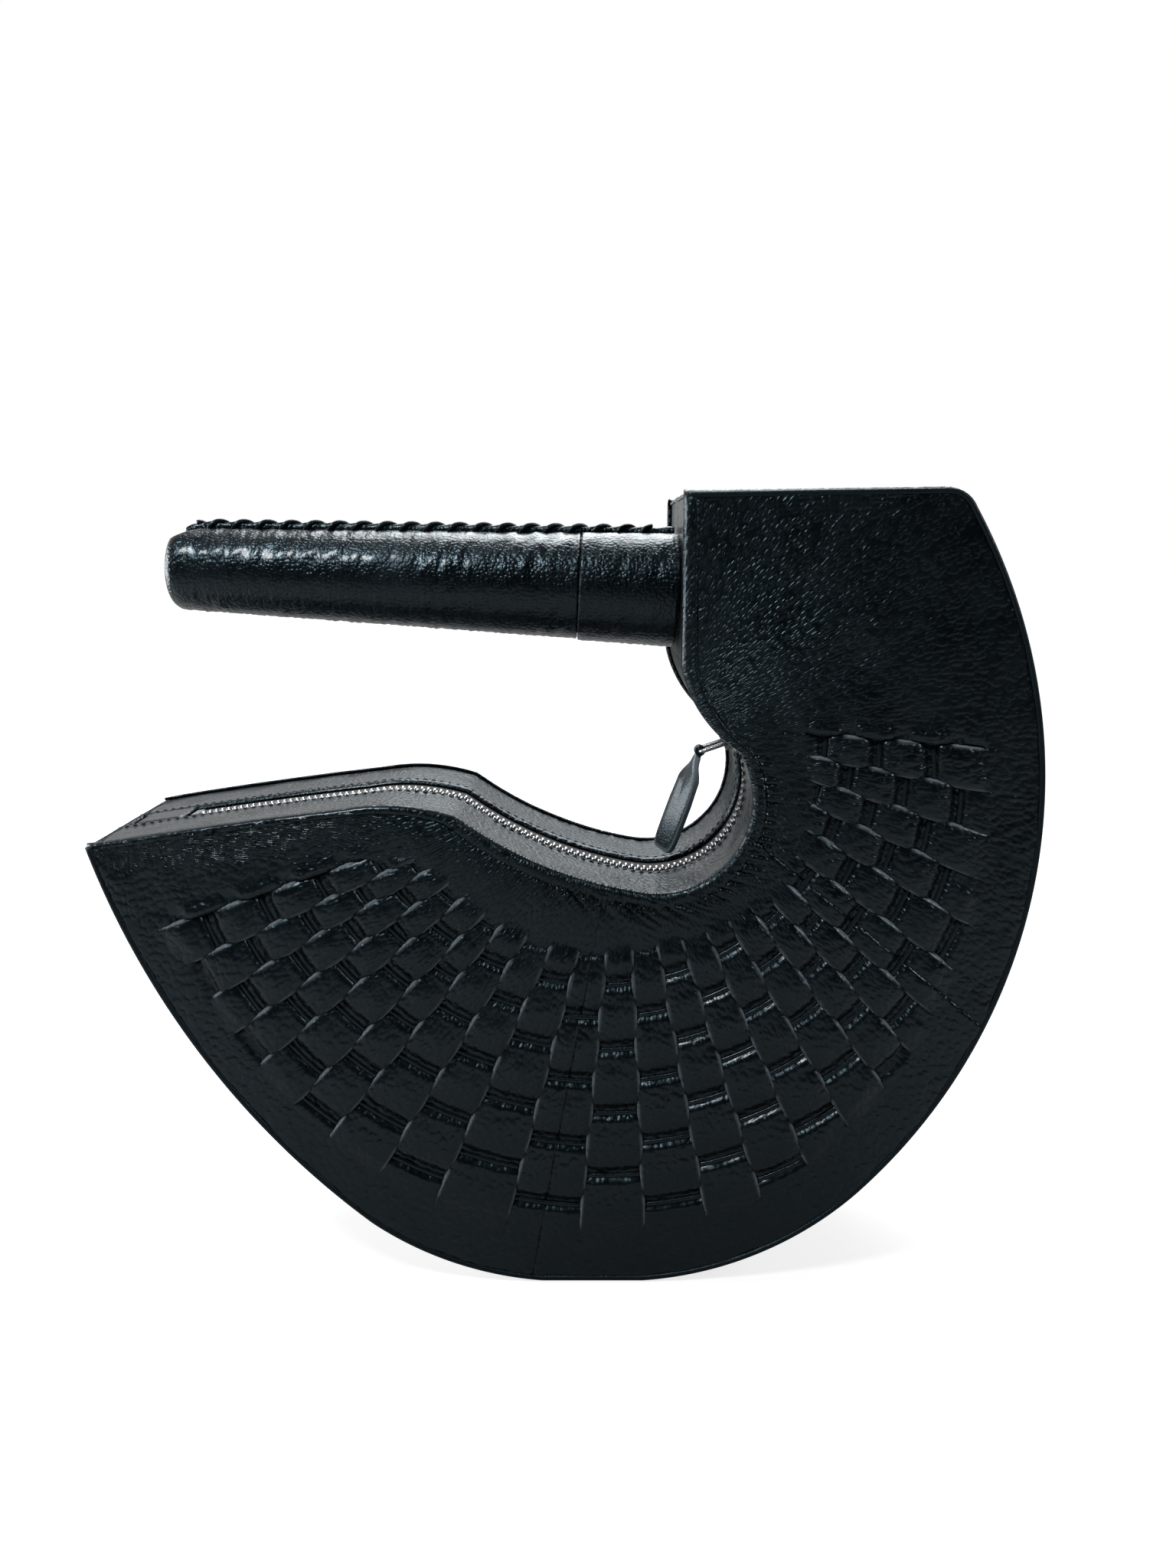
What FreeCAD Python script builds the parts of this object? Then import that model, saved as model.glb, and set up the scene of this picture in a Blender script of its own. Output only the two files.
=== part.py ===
import FreeCAD, Part
import math
import os

os.makedirs("parts", exist_ok=True)

V = FreeCAD.Vector
Y_AXIS = V(0, 1, 0)

# ---------------------------------------------------------------- driving sizes (mm)
WIDTH = 351.6          # tip of the body to the crown of the head
HEIGHT = 305.3         # resting flat to the top of the head
DEPTH = 90.0           # over the cords of the two woven faces
LEATHER = 1.6          # outer leather
BOARD = 2.0            # stiffening board behind each face
PADDING = 1.4          # fleece between face leather and board
LINING = 0.5           # inner cloth
WELT = 2.6             # piping along the rim, square across
GAP = 0.1              # glue line between two flat layers
ROUND_GAP = 0.3        # space between two curved skins
BASE_FLAT = 40.0       # length of the resting flat

SLITS = 25             # radial slits in each face
SLIT_KEYS = [(0, -157.8), (3, -143.9), (7, -120.0), (10, -97.0), (14, -68.5), (24, 0.5)]
#                      directions of a few slits, degrees; the bands widen towards the lowest part
SLIT_W = 1.8
CORDS = 9              # cords laced through the slits
CORD_W = 2.2           # across the cord, in the face
CORD_T = 1.4           # through the face
HOOK = 8.0             # from the end slit to the hole a cord dives into

TOOTH_PITCH = 2.55
TOOTH_T = 1.3
CHAIN_DEPTH = 2.2      # mouth surface to the middle of the zip
TAPE_T = 0.6
TAPE_OUT = 14.0        # half width of the zip tapes
MOUTH_HALF = 10.0      # half width of the slot between the two facings
CHAIN_SLOT = 1.0       # space between the two rows of teeth

SLIDER_L = 11.0
SLIDER_HALF = 5.0
PLATE_T = 1.0
SLIDER_PLAY = 0.15
SLIDER_AT = 27.0       # where the closed slider stands on the valley arc, degrees
BAIL_WIRE = 0.8        # radius
BAIL_L = 12.0
BAIL_HALF = 4.6
TAB_L = 43.5
TAB_W = 12.0
TAB_T = 3.0
PIN_PLAY = 0.08

TIP_R = 15.5           # radius of the handle at its free end
ROOT_R = 21.5          # radius of the handle where it meets the head
HANDLE_X = -151.0      # free end of the handle
SEAM_RING_X = 6.0      # joint between grip leather and cuff
LACE_PITCH = 9.2
LACE_T = 1.1
RIDGE_H = 3.2
RIDGE_T = 1.6
SCREW_R = 2.5
SCREW_PCD = 22.0
SCREW_PLAY = 0.03

SX = WIDTH / 351.6
SZ = HEIGHT / 305.3
HALF = DEPTH / 2


def P(x, z, y=0.0):
    """Point of the side view, stretched with the overall width and height."""
    return V(x * SX, y, z * SZ)


def polar(centre, r, deg, y=0.0):
    """Point at a distance and direction from a centre in the side view."""
    a = math.radians(deg)
    return V(centre.x + r * math.cos(a), y, centre.z + r * math.sin(a))


def arc(a, b, c):
    return Part.Arc(a, b, c).toShape()


def line(a, b):
    return Part.makeLine(a, b)


# ---------------------------------------------------------------- the side view
TIP = P(-175.8, 176.6)
FLAT_C = 11.0
FLAT_A = V(FLAT_C * SX - BASE_FLAT / 2, 0, 0)
FLAT_B = V(FLAT_C * SX + BASE_FLAT / 2, 0, 0)
VALLEY = V(34.5 * SX, 0, 194.0 * SZ)
VALLEY_R = 35.7 * min(SX, SZ)
VALLEY_LOW = -102.0
NECK = polar(VALLEY, VALLEY_R, 32.0)
LOW = polar(VALLEY, VALLEY_R, VALLEY_LOW)
FACE_LOW = P(43.4, 243.0)
CROWN_L = P(43.4, 303.9)
CROWN_R = P(134.0, 305.3)
SHOULDER = P(144.6, 298.6)
FAN = P(26.5, 215.3)


def outline(zip_line=False):
    """Closed side view; with zip_line the valley arc runs on behind the neck."""
    edges = [
        line(CROWN_L, CROWN_R),
        arc(CROWN_R, P(140.6, 303.4), SHOULDER),
        arc(SHOULDER, P(175.8, 186.0), P(114.1, 37.8)),
        arc(P(114.1, 37.8), P(76.0, 11.6), FLAT_B),
        line(FLAT_B, FLAT_A),
        arc(FLAT_A, P(-45.0, 8.2), P(-75.1, 24.7)),
        arc(P(-75.1, 24.7), P(-132.0, 86.0), TIP),
        arc(TIP, P(-135.0, 183.0), P(-79.6, 190.2)),
        arc(P(-79.6, 190.2), P(-57.0, 191.2), P(-39.6, 187.6)),
        arc(P(-39.6, 187.6), P(-9.0, 170.0), LOW),
    ]
    if zip_line:
        end = polar(VALLEY, VALLEY_R, 46.0)
        top = P(43.4, 262.0)
        edges += [arc(LOW, polar(VALLEY, VALLEY_R, -30.0), end), line(end, top), line(top, CROWN_L)]
    else:
        edges += [
            arc(LOW, polar(VALLEY, VALLEY_R, -30.0), NECK),
            arc(NECK, P(52.4, 224.0), FACE_LOW),
            line(FACE_LOW, CROWN_L),
        ]
    return Part.Face(Part.Wire(edges))


BODY_FACE = outline()
ZIP_FACE = outline(True)


def inset(face, d):
    """The side view drawn in by d all round."""
    if d == 0:
        return face
    wire = face.OuterWire.makeOffset2D(-d)
    return Part.Face(wire)


def slab(face, y0, y1):
    """Sheet between two planes parallel to the side view."""
    sheet = face.copy()
    sheet.translate(V(0, y0, 0))
    return sheet.extrude(V(0, y1 - y0, 0))


def ring(face, d0, d1, y0, y1):
    """Skin between two depths under the rim."""
    return slab(inset(face, d0), y0, y1).cut(slab(inset(face, d1), y0 - 1, y1 + 1))


def prism(points, y0=-200.0, y1=200.0):
    pts = list(points) + [points[0]]
    face = Part.Face(Part.makePolygon([V(p.x, y0, p.z) for p in pts]))
    return face.extrude(V(0, y1 - y0, 0))


def both(shape):
    """The same piece on the other face."""
    return shape.mirror(V(0, 0, 0), Y_AXIS)


def solids(shape):
    found = shape.Solids
    return found[0] if len(found) == 1 else Part.makeCompound(found)


def save(name, shape):
    shape = solids(shape)
    shape.exportStep("parts/" + name + ".step")
    volume = sum(s.Volume for s in shape.Solids)
    print(name, len(shape.Solids), round(volume), all(s.isValid() for s in shape.Solids))


# ---------------------------------------------------------------- zones of the rim
TIP_IN = P(-124.8, 145.2)
TIP_OUT = P(-210.0, 197.5)
NECK_IN = P(92.0, 241.6)
NECK_OUT = P(50.6, 198.4)
LEFT_IN = P(84.0, 263.0)
LEFT_OUT = P(24.0, 323.0)
RIGHT_IN = P(100.0, 255.0)
RIGHT_OUT = P(152.0, 325.0)
MID = [P(20, 110), P(100, 170)]

MOUTH = prism([TIP_OUT, TIP_IN, MID[0], MID[1], NECK_IN, NECK_OUT, P(30, 225), P(-100, 235)])
FACE_ZONE = prism([NECK_OUT, NECK_IN, LEFT_IN, LEFT_OUT, P(0, 323), P(0, 225)])
CROWN = prism([LEFT_OUT, LEFT_IN, RIGHT_IN, RIGHT_OUT, P(24, 345)])
OUTER = prism([RIGHT_OUT, RIGHT_IN, NECK_IN, MID[1], MID[0], TIP_IN, TIP_OUT,
               P(-260, 197.5), P(-260, -60), P(260, -60), P(260, 325)])
PIPED = OUTER.fuse(CROWN)

# ---------------------------------------------------------------- levels through the front face
Y_CORD = -HALF
Y_SKIN = Y_CORD + CORD_T + GAP
Y_UNDER = Y_SKIN + LEATHER + GAP
Y_BOARD = Y_UNDER + PADDING + GAP
Y_LINING = Y_BOARD + BOARD + GAP
Y_IN = Y_LINING + LINING
D_BOARD = LEATHER + GAP
D_LINING = D_BOARD + BOARD + GAP

# ---------------------------------------------------------------- slits and cords
def slit_direction(i):
    """Direction of slit i, in even steps between the key slits."""
    for (i0, d0), (i1, d1) in zip(SLIT_KEYS, SLIT_KEYS[1:]):
        if i <= i1:
            return d0 + (d1 - d0) * (i - i0) / (i1 - i0)


SLIT_DEG = [slit_direction(i * SLIT_KEYS[-1][0] / (SLITS - 1)) for i in range(SLITS)]


def cord_circle(k):
    """Centre and radius of cord k, the arc through its left, lowest and right radii."""
    s = min(SX, SZ)
    a = polar(FAN, (95.5 + 11.3 * k) * s, -161.0)
    b = polar(FAN, (84.4 + 12.9 * k) * s, -95.0)
    c = polar(FAN, (66.4 + 10.5 * k) * s, 0.0)
    circle = Part.Arc(a, b, c).toShape().Curve
    return V(circle.Center), circle.Radius


CORD_CIRCLES = [cord_circle(k) for k in range(CORDS)]


def reach(circle, deg):
    """Distance from the fan centre to a circle along a direction."""
    centre, radius = circle
    d = polar(V(0, 0, 0), 1.0, deg)
    m = centre - FAN
    along = m.dot(d)
    return along + math.sqrt(radius * radius - m.dot(m) + along * along)


def rim(deg):
    """Distance from the fan centre to the outer rim along a direction."""
    ray = line(FAN, polar(FAN, 400.0 * max(SX, SZ), deg))
    inside = BODY_FACE.common(ray)
    return max(v.Point.distanceToPoint(FAN) for v in inside.Vertexes)


def cords_at(deg):
    """How many cords cross a given slit."""
    room = rim(deg) - 16.0
    return sum(1 for c in CORD_CIRCLES if reach(c, deg) < room)


CROSSING = [cords_at(d) for d in SLIT_DEG]


def bar(r0, r1, deg, width, y0, y1):
    """Straight-sided block lying along a ray of the fan."""
    box = Part.makeBox(r1 - r0, y1 - y0, width, V(r0, y0, -width / 2))
    box.rotate(V(0, 0, 0), Y_AXIS, -deg)
    box.translate(V(FAN.x, 0, FAN.z))
    return box


def hook_deg(k, last):
    """Direction of the small hole at the end of cord k."""
    deg = SLIT_DEG[last_slit(k)] if last else SLIT_DEG[0]
    turn = math.degrees(HOOK / reach(CORD_CIRCLES[k], deg))
    return deg + turn if last else deg - turn


def last_slit(k):
    return max(i for i in range(SLITS) if CROSSING[i] > k)


def outermost(i):
    """The cord furthest out in slit i."""
    return max(k for k in range(CORDS) if last_slit(k) >= i)


def over(k, band):
    """Band b lies between slit b-1 and slit b; cords pass over every other one."""
    return (k + band) % 2 == 0


def slit_tools(y0, y1):
    tools = []
    for i, deg in enumerate(SLIT_DEG):
        r0 = reach(CORD_CIRCLES[0], deg) - 6.0
        r1 = reach(CORD_CIRCLES[outermost(i)], deg) + 6.0
        tools.append(bar(r0, r1, deg, SLIT_W, y0, y1))
    for k in range(CORDS):
        for last in (False, True):
            band = last_slit(k) + 1 if last else 0
            if over(k, band):
                deg = hook_deg(k, last)
                r = reach(CORD_CIRCLES[k], deg)
                tools.append(bar(r - CORD_W, r + CORD_W, deg, SLIT_W, y0, y1))
    return tools


def band_tool(deg_a, deg_b, y0, y1):
    """Block that fills the band between two slits, clear of the cord in each slit."""
    half = CORD_T / 2
    far = 260.0 * max(SX, SZ)
    pts = []
    for deg, side, r in ((deg_a, half, 30.0), (deg_a, half, far), (deg_b, -half, far), (deg_b, -half, 30.0)):
        p = polar(FAN, r, deg)
        n = polar(V(0, 0, 0), side, deg + 90)
        pts.append(p + n)
    return prism(pts, y0, y1)


def cord(k):
    """One cord: an arc strip, relieved above or below in alternate bands."""
    centre, radius = CORD_CIRCLES[k]
    n = last_slit(k)
    a, b = hook_deg(k, False), hook_deg(k, True)
    stops = [a] + SLIT_DEG[:n + 1] + [b]
    y1 = Y_UNDER + CORD_T
    strip = Part.Face(Part.Wire(Part.makeCircle(radius + CORD_W / 2, centre, Y_AXIS)))
    strip = slab(strip, Y_CORD, y1)
    hole = Part.Face(Part.Wire(Part.makeCircle(radius - CORD_W / 2, centre, Y_AXIS)))
    strip = strip.cut(slab(hole, Y_CORD - 1, y1 + 1))
    keep = [FAN]
    far = 400.0 * max(SX, SZ)
    lo = a - math.degrees(CORD_T / 2 / reach(CORD_CIRCLES[k], a))
    hi = b + math.degrees(CORD_T / 2 / reach(CORD_CIRCLES[k], b))
    for j in range(9):
        keep.append(polar(FAN, far, lo + (hi - lo) * j / 8))
    strip = strip.common(prism(keep))
    tools = []
    for band in range(n + 2):
        if over(k, band):
            tools.append(band_tool(stops[band], stops[band + 1], Y_SKIN - GAP, y1 + 1))
        else:
            tools.append(band_tool(stops[band], stops[band + 1], Y_CORD - 1, Y_UNDER))
    if not over(k, 0):
        tools.append(bar(30, far, a, 2 * CORD_T, Y_CORD - 1, Y_UNDER))
    if not over(k, n + 1):
        tools.append(bar(30, far, b, 2 * CORD_T, Y_CORD - 1, Y_UNDER))
    return solids(strip.cut(tools))


weave = Part.makeCompound([cord(k) for k in range(CORDS)])
save("weave_front", weave)
save("weave_back", both(weave))

# ---------------------------------------------------------------- face leather, in three pieces
# the two seams run down the middle of a band
SEAMS = ((SLIT_DEG[9] + SLIT_DEG[10]) / 2, (SLIT_DEG[18] + SLIT_DEG[19]) / 2)
FAR = 420.0
fan_far = [polar(FAN, FAR, SEAMS[0]), polar(FAN, FAR, SEAMS[1])]
LEFT_PART = prism([FAN, fan_far[0], P(-260, -200), P(-260, 330), P(-100, 330)])
MIDDLE_PART = prism([FAN, fan_far[0], fan_far[1]])
RIGHT_PART = prism([FAN, fan_far[1], P(400, 400), P(0, 400)])

skin = slab(BODY_FACE, Y_SKIN, Y_SKIN + LEATHER)
skin = skin.cut(ring(BODY_FACE, 0, WELT + GAP, Y_SKIN - 2, Y_SKIN + LEATHER + 2).common(PIPED))
skin = skin.cut(slit_tools(Y_SKIN - 1, Y_SKIN + LEATHER + 1))
skin = skin.cut([bar(20, FAR, deg, 0.4, Y_SKIN - 1, Y_SKIN + LEATHER + 1) for deg in SEAMS])
for name, part in (("left", LEFT_PART), ("middle", MIDDLE_PART), ("head", RIGHT_PART)):
    piece = skin.common(part)
    save("panel_front_" + name, piece)
    save("panel_back_" + name, both(piece))

# fleece round the woven field, board and lining behind the face
HOOK_FIELD = SLIT_DEG[0] - 4, SLIT_DEG[-1] + 4
field = [polar(FAN, reach(CORD_CIRCLES[0], d) - 9.0, d) for d in range(-160, 1, 5)]
field += [polar(FAN, rim(d) - 10.0, d) for d in range(0, -161, -5)]
field_block = prism(field)
for d in HOOK_FIELD:
    near = SLIT_DEG[0] if d < -90 else SLIT_DEG[-1]
    hook_room = bar(reach(CORD_CIRCLES[0], d) - 9.0, rim(near) - 10.0, d, 20.0, -HALF, HALF)
    field_block = field_block.fuse(hook_room)
inner_face = inset(BODY_FACE, D_BOARD + GAP)
fleece = slab(inner_face, Y_UNDER, Y_UNDER + PADDING).cut(field_block)
save("fleece_front", fleece)
save("fleece_back", both(fleece))
board = slab(inner_face, Y_BOARD, Y_BOARD + BOARD)
save("board_front", board)
save("board_back", both(board))
lining = slab(inset(BODY_FACE, D_LINING + LINING + GAP), Y_LINING, Y_IN)
save("lining_front", lining)
save("lining_back", both(lining))

# ---------------------------------------------------------------- rim: welts, gussets, facings
welt = ring(BODY_FACE, 0, WELT, -HALF, -HALF + WELT).common(PIPED)
save("welt_front", welt)
save("welt_back", both(welt))

gusset = ring(BODY_FACE, 0, LEATHER, -HALF + WELT + GAP, HALF - WELT - GAP)
pocket = prism([polar(VALLEY, r, a) for r, a in ((20, 10), (50, 10), (50, 52), (20, 52))], -8.0, 8.0)
save("gusset_outer", gusset.common(OUTER))
save("gusset_crown", gusset.common(CROWN))

# handle axis and the four screw places on the head
ROOT = P(43.4, 268.7)
FREE = P(HANDLE_X / SX, 277.0)
AXIS = ROOT - FREE
LENGTH = AXIS.Length
UNIT = AXIS / LENGTH
TILT = math.degrees(math.atan2(UNIT.z, UNIT.x))
SCREWS = [(SCREW_PCD / 2 * math.cos(math.radians(a)), SCREW_PCD / 2 * math.sin(math.radians(a)))
          for a in (45, 135, 225, 315)]


def screw_holes(r):
    return [Part.makeCylinder(r, 60, V(ROOT.x - 25, y, ROOT.z + z), V(1, 0, 0)) for y, z in SCREWS]


BOLTS = screw_holes(SCREW_R + 0.2)
TAPE_ROOM = prism([polar(VALLEY, r, a) for r, a in ((30, 8), (48, 8), (48, 52), (30, 52))],
                  -TAPE_OUT - 0.5, TAPE_OUT + 0.5)
head_gusset = ring(BODY_FACE, 0, LEATHER, Y_UNDER, -Y_UNDER).common(FACE_ZONE)
head_gusset = head_gusset.cut(pocket).cut(BOLTS)
save("gusset_face", head_gusset)

stiff = ring(BODY_FACE, D_BOARD, D_BOARD + BOARD, Y_LINING, -Y_LINING)
stiff_outer = stiff.common(OUTER.fuse(CROWN))
save("board_gusset", stiff_outer)
save("board_face", stiff.common(FACE_ZONE).cut(TAPE_ROOM).cut(BOLTS))
cloth = ring(BODY_FACE, D_LINING, D_LINING + LINING, Y_IN + GAP, -Y_IN - GAP)
save("lining_gusset", cloth.common(OUTER.fuse(CROWN)))
save("lining_face", cloth.common(FACE_ZONE).cut(TAPE_ROOM).cut(BOLTS))

facing = ring(BODY_FACE, 0, LEATHER, Y_UNDER, -MOUTH_HALF).common(MOUTH)
save("facing_front", facing)
save("facing_back", both(facing))

# ---------------------------------------------------------------- zip
CHAIN_R = VALLEY_R + CHAIN_DEPTH
TAPE_D = CHAIN_DEPTH - TAPE_T / 2
ZIP_ZONE = prism([P(-150, 240), P(-150, 150), P(20, 110), P(120, 110), polar(VALLEY, 90, 44),
                  VALLEY, P(0, 240)])
TEETH_IN = CHAIN_SLOT / 2
TAPE_IN = TEETH_IN + 1.6
tape = ring(ZIP_FACE, TAPE_D, TAPE_D + TAPE_T, -TAPE_OUT, -TAPE_IN).common(ZIP_ZONE)
save("zip_tape_front", tape)
save("zip_tape_back", both(tape))


def tooth():
    """One tooth: a head beside the slot and two legs that grip the tape edge."""
    block = Part.makeBox(TOOTH_T, 3.2, 3.0, V(-TOOTH_T / 2, -TEETH_IN - 3.2, -1.5))
    corner = V(-TOOTH_T / 2 - 1, -TAPE_IN - 4 + 0.05, -TAPE_T / 2 - 0.05)
    slot = Part.makeBox(TOOTH_T + 2, 4, TAPE_T + 0.1, corner)
    return block.cut(slot)


def chain_edges():
    """Edges of the zip line from the far end to the neck, at the depth of the chain."""
    wire = inset(ZIP_FACE, CHAIN_DEPTH).OuterWire
    keep = []
    for e in wire.OrderedEdges:
        mid = e.valueAt((e.FirstParameter + e.LastParameter) / 2)
        if mid.z > 120 * SZ and mid.x < NECK.x + 12 and mid.z < 216 * SZ:
            keep.append(e)
    return keep


def chain_points(pitch):
    """Evenly spaced stations along the zip, with the direction of travel at each."""
    edges = chain_edges()
    points = []
    for e in edges:
        pts = e.discretize(Distance=0.25)
        if points and points[-1].distanceToPoint(pts[0]) > points[-1].distanceToPoint(pts[-1]):
            pts.reverse()
        points += pts
    if points[0].x > points[-1].x:
        points.reverse()
    stations, run, due = [], 0.0, 0.0
    for a, b in zip(points, points[1:]):
        run += a.distanceToPoint(b)
        if run >= due and a.distanceToPoint(b) > 1e-6:
            stations.append((b, (b - a).normalize()))
            due += pitch
    return stations


def on_chain(shape, point, direction):
    """Turn a piece drawn along +X at the origin onto the zip line."""
    piece = shape.copy()
    piece.rotate(V(0, 0, 0), Y_AXIS, -math.degrees(math.atan2(direction.z, direction.x)))
    piece.translate(V(point.x, 0, point.z))
    return piece


ONE_TOOTH = tooth()
END_X = -147.0 * SX
STATIONS = chain_points(TOOTH_PITCH)


def past_neck(p):
    """Direction of a station seen from the centre of the valley arc."""
    return math.degrees(math.atan2(p.z - VALLEY.z, p.x - VALLEY.x))


TEETH = [s for s in STATIONS if s[0].x > END_X and not (past_neck(s[0]) > 40 and s[0].x > VALLEY.x)]
rows = Part.makeCompound([on_chain(ONE_TOOTH, p, d) for p, d in TEETH])
save("zip_teeth_front", rows)
save("zip_teeth_back", both(rows))

first = min(TEETH, key=lambda s: s[0].x)
stop = Part.makeBox(3.0, 9.0, 3.0, V(-4.4, -4.5, -1.5))
stop = stop.cut(Part.makeBox(5.0, 10, TAPE_T + 0.1, V(-5, TAPE_IN - 0.05, -TAPE_T / 2 - 0.05)))
stop = stop.cut(Part.makeBox(5.0, 10, TAPE_T + 0.1, V(-5, -TAPE_IN + 0.05 - 10, -TAPE_T / 2 - 0.05)))
save("zip_bottom_stop", on_chain(stop, first[0], first[1]))

# ---------------------------------------------------------------- slider, bail and tab
IN_R = CHAIN_R - 1.5 - SLIDER_PLAY
OUT_R = CHAIN_R + 1.5 + SLIDER_PLAY
SPAN = math.degrees(SLIDER_L / 2 / CHAIN_R)


def wedge(a, b):
    return prism([VALLEY, polar(VALLEY, 80, a), polar(VALLEY, 80, (a + b) / 2), polar(VALLEY, 80, b)])


def sheet(r0, r1, y0, y1, a, b):
    """Curved plate about the valley axis."""
    outer = Part.makeCylinder(r1, y1 - y0, V(VALLEY.x, y0, VALLEY.z), Y_AXIS)
    inner = Part.makeCylinder(r0, y1 - y0 + 2, V(VALLEY.x, y0 - 1, VALLEY.z), Y_AXIS)
    return outer.cut(inner).common(wedge(a, b))


A0, A1 = SLIDER_AT - SPAN, SLIDER_AT + SPAN
upper = sheet(IN_R - PLATE_T, IN_R, -SLIDER_HALF, SLIDER_HALF, A0, A1)
lower = sheet(OUT_R, OUT_R + PLATE_T, -SLIDER_HALF, SLIDER_HALF, A0, A1)
post = sheet(IN_R - 0.2, OUT_R + 0.2, -0.35, 0.35, SLIDER_AT, A1)
TOP_R = IN_R - PLATE_T
slider = upper.fuse([lower, post]).removeSplitter()
save("slider_body", slider)

BAR_R = TOP_R - 0.2 - BAIL_WIRE
arch = sheet(TOP_R - 3.4, TOP_R, -1.3, 1.3, SLIDER_AT - 5.6, SLIDER_AT + 5.6)
HINGE = polar(VALLEY, BAR_R, SLIDER_AT)
arch = arch.cut(Part.makeCylinder(BAIL_WIRE + PIN_PLAY, 10, V(HINGE.x, -5, HINGE.z), Y_AXIS))
save("slider_bridge", arch)

FAR_BAR = HINGE + (P(50.5, 204.5) - HINGE).normalize() * BAIL_L
TAB_DIR = (P(38.0, 161.0) - FAR_BAR).normalize()


def loop_wire(a, b, half, corner):
    """Closed rounded loop whose two long bars lie along Y through a and b."""
    u = (b - a).normalize()
    h = b.distanceToPoint(a)

    def q(s, y):
        return a + u * s + V(0, y, 0)

    c = corner
    k = corner * (1 - math.sqrt(0.5))
    edges = [
        line(q(0, -half + c), q(0, half - c)),
        arc(q(0, half - c), q(k, half - k), q(c, half)),
        line(q(c, half), q(h - c, half)),
        arc(q(h - c, half), q(h - k, half - k), q(h, half - c)),
        line(q(h, half - c), q(h, -half + c)),
        arc(q(h, -half + c), q(h - k, -half + k), q(h - c, -half)),
        line(q(h - c, -half), q(c, -half)),
        arc(q(c, -half), q(k, -half + k), q(0, -half + c)),
    ]
    return Part.Wire(edges)


def tube(wire, r):
    e = wire.Edges[0]
    start = e.valueAt(e.FirstParameter)
    ring_wire = Part.Wire(Part.makeCircle(r, start, e.tangentAt(e.FirstParameter)))
    return wire.makePipeShell([ring_wire], True, True)


bail = tube(loop_wire(HINGE, FAR_BAR, BAIL_HALF, 2.0), BAIL_WIRE)
save("pull_bail", bail)

strap = Part.makeBox(TAB_L - 3.0, TAB_W, TAB_T, V(3.0, -TAB_W / 2, -TAB_T / 2))
corners = [e for e in strap.Edges if abs(e.CenterOfMass.x - TAB_L) < 1e-6 and abs(e.Length - TAB_T) < 1e-6]
strap = strap.makeFillet(4.5, corners)
EYE_R = BAIL_WIRE + PIN_PLAY + 1.2
eye = Part.makeCylinder(EYE_R, 5.0, V(0, -2.5, 0), Y_AXIS)
eye = eye.fuse(Part.makeBox(3.2, 5.0, TAB_T, V(0, -2.5, -TAB_T / 2)))
tab = strap.fuse(eye).cut(Part.makeCylinder(BAIL_WIRE + PIN_PLAY, 8, V(0, -4, 0), Y_AXIS))
tab.rotate(V(0, 0, 0), Y_AXIS, -math.degrees(math.atan2(TAB_DIR.z, TAB_DIR.x)))
tab.translate(FAR_BAR)
save("pull_tab", tab)
print("HINGE", HINGE, "FAR_BAR", FAR_BAR, "VALLEY", VALLEY)

# small leather piece sewn over the far end of the zip
END_ZONE = prism([P(-171, 240), P(-171, 150), P(-152.5, 150), P(-152.5, 240)])
end_tab = ring(BODY_FACE, 0, LEATHER, -MOUTH_HALF + GAP, MOUTH_HALF - GAP)
save("zip_end_tab", end_tab.common(MOUTH).common(END_ZONE))

# ---------------------------------------------------------------- handle
OUTSIDE = Part.makeBox(600, 200, 400, V(-600 + 43.4 * SX - GAP, -100, 50))
SHELL = 2.0


def radius_at(s):
    return TIP_R + (ROOT_R - TIP_R) * s / LENGTH


def cone(s0, s1, skin_in):
    """Length of the tapered handle between two distances from its free end."""
    base = FREE + UNIT * s0
    return Part.makeCone(radius_at(s0) - skin_in, radius_at(s1) - skin_in, s1 - s0, base, UNIT)


LONG = LENGTH + 4.0
RING_S = (SEAM_RING_X - FREE.x / SX) * SX
core = cone(LEATHER + GAP, LONG, SHELL + GAP).common(OUTSIDE)
core = core.cut(screw_holes(SCREW_R + SCREW_PLAY))
save("handle_core", core)
save("handle_grip_leather", cone(LEATHER + GAP, RING_S - 0.3, 0).cut(cone(0, LONG, SHELL)))
save("handle_cuff_leather", cone(RING_S, LONG, 0).cut(cone(RING_S - 2, LONG + 2, SHELL)).common(OUTSIDE))
cap = cone(0, LEATHER, 0)
save("handle_end_cap", cap)

# raised seam along the top with a leather lace whipped over it
TOP_A = FREE + V(0, 0, TIP_R)
TOP_B = ROOT + V(0, 0, ROOT_R)
RISE = TOP_B - TOP_A
SLOPE = math.atan2(RISE.z, RISE.x)
SEAM_L = RISE.Length - 9.0


def seam_frame(shape):
    """Place a piece drawn along +X, standing on z = 0, on the top line of the handle."""
    piece = shape.copy()
    piece.rotate(V(0, 0, 0), Y_AXIS, -math.degrees(SLOPE))
    piece.translate(TOP_A)
    return piece


WRAPS = int((SEAM_L - 14.0) / LACE_PITCH)
ridge = Part.makeBox(SEAM_L, RIDGE_T, RIDGE_H, V(5.0, -RIDGE_T / 2, 0.25))
half = LACE_T / 2
side = RIDGE_T / 2 + 0.6 + half
SLOT_H = 1.5 * LACE_T + 0.3
low = 1.1 + half
high = 0.25 + RIDGE_H + 0.6 + half
path = []
holes = []
for n in range(WRAPS):
    x = 11.0 + n * LACE_PITCH
    path += [V(x, -side, low), V(x + 1.2, -side, high), V(x + 4.4, side, high), V(x + 5.6, side, low)]
    if n < WRAPS - 1:
        corner = V(x + 4.8, -RIDGE_T / 2 - 1, low - SLOT_H / 2)
        holes.append(Part.makeBox(LACE_PITCH - 4.0, RIDGE_T + 2, SLOT_H, corner))
start = path[0]
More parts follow.
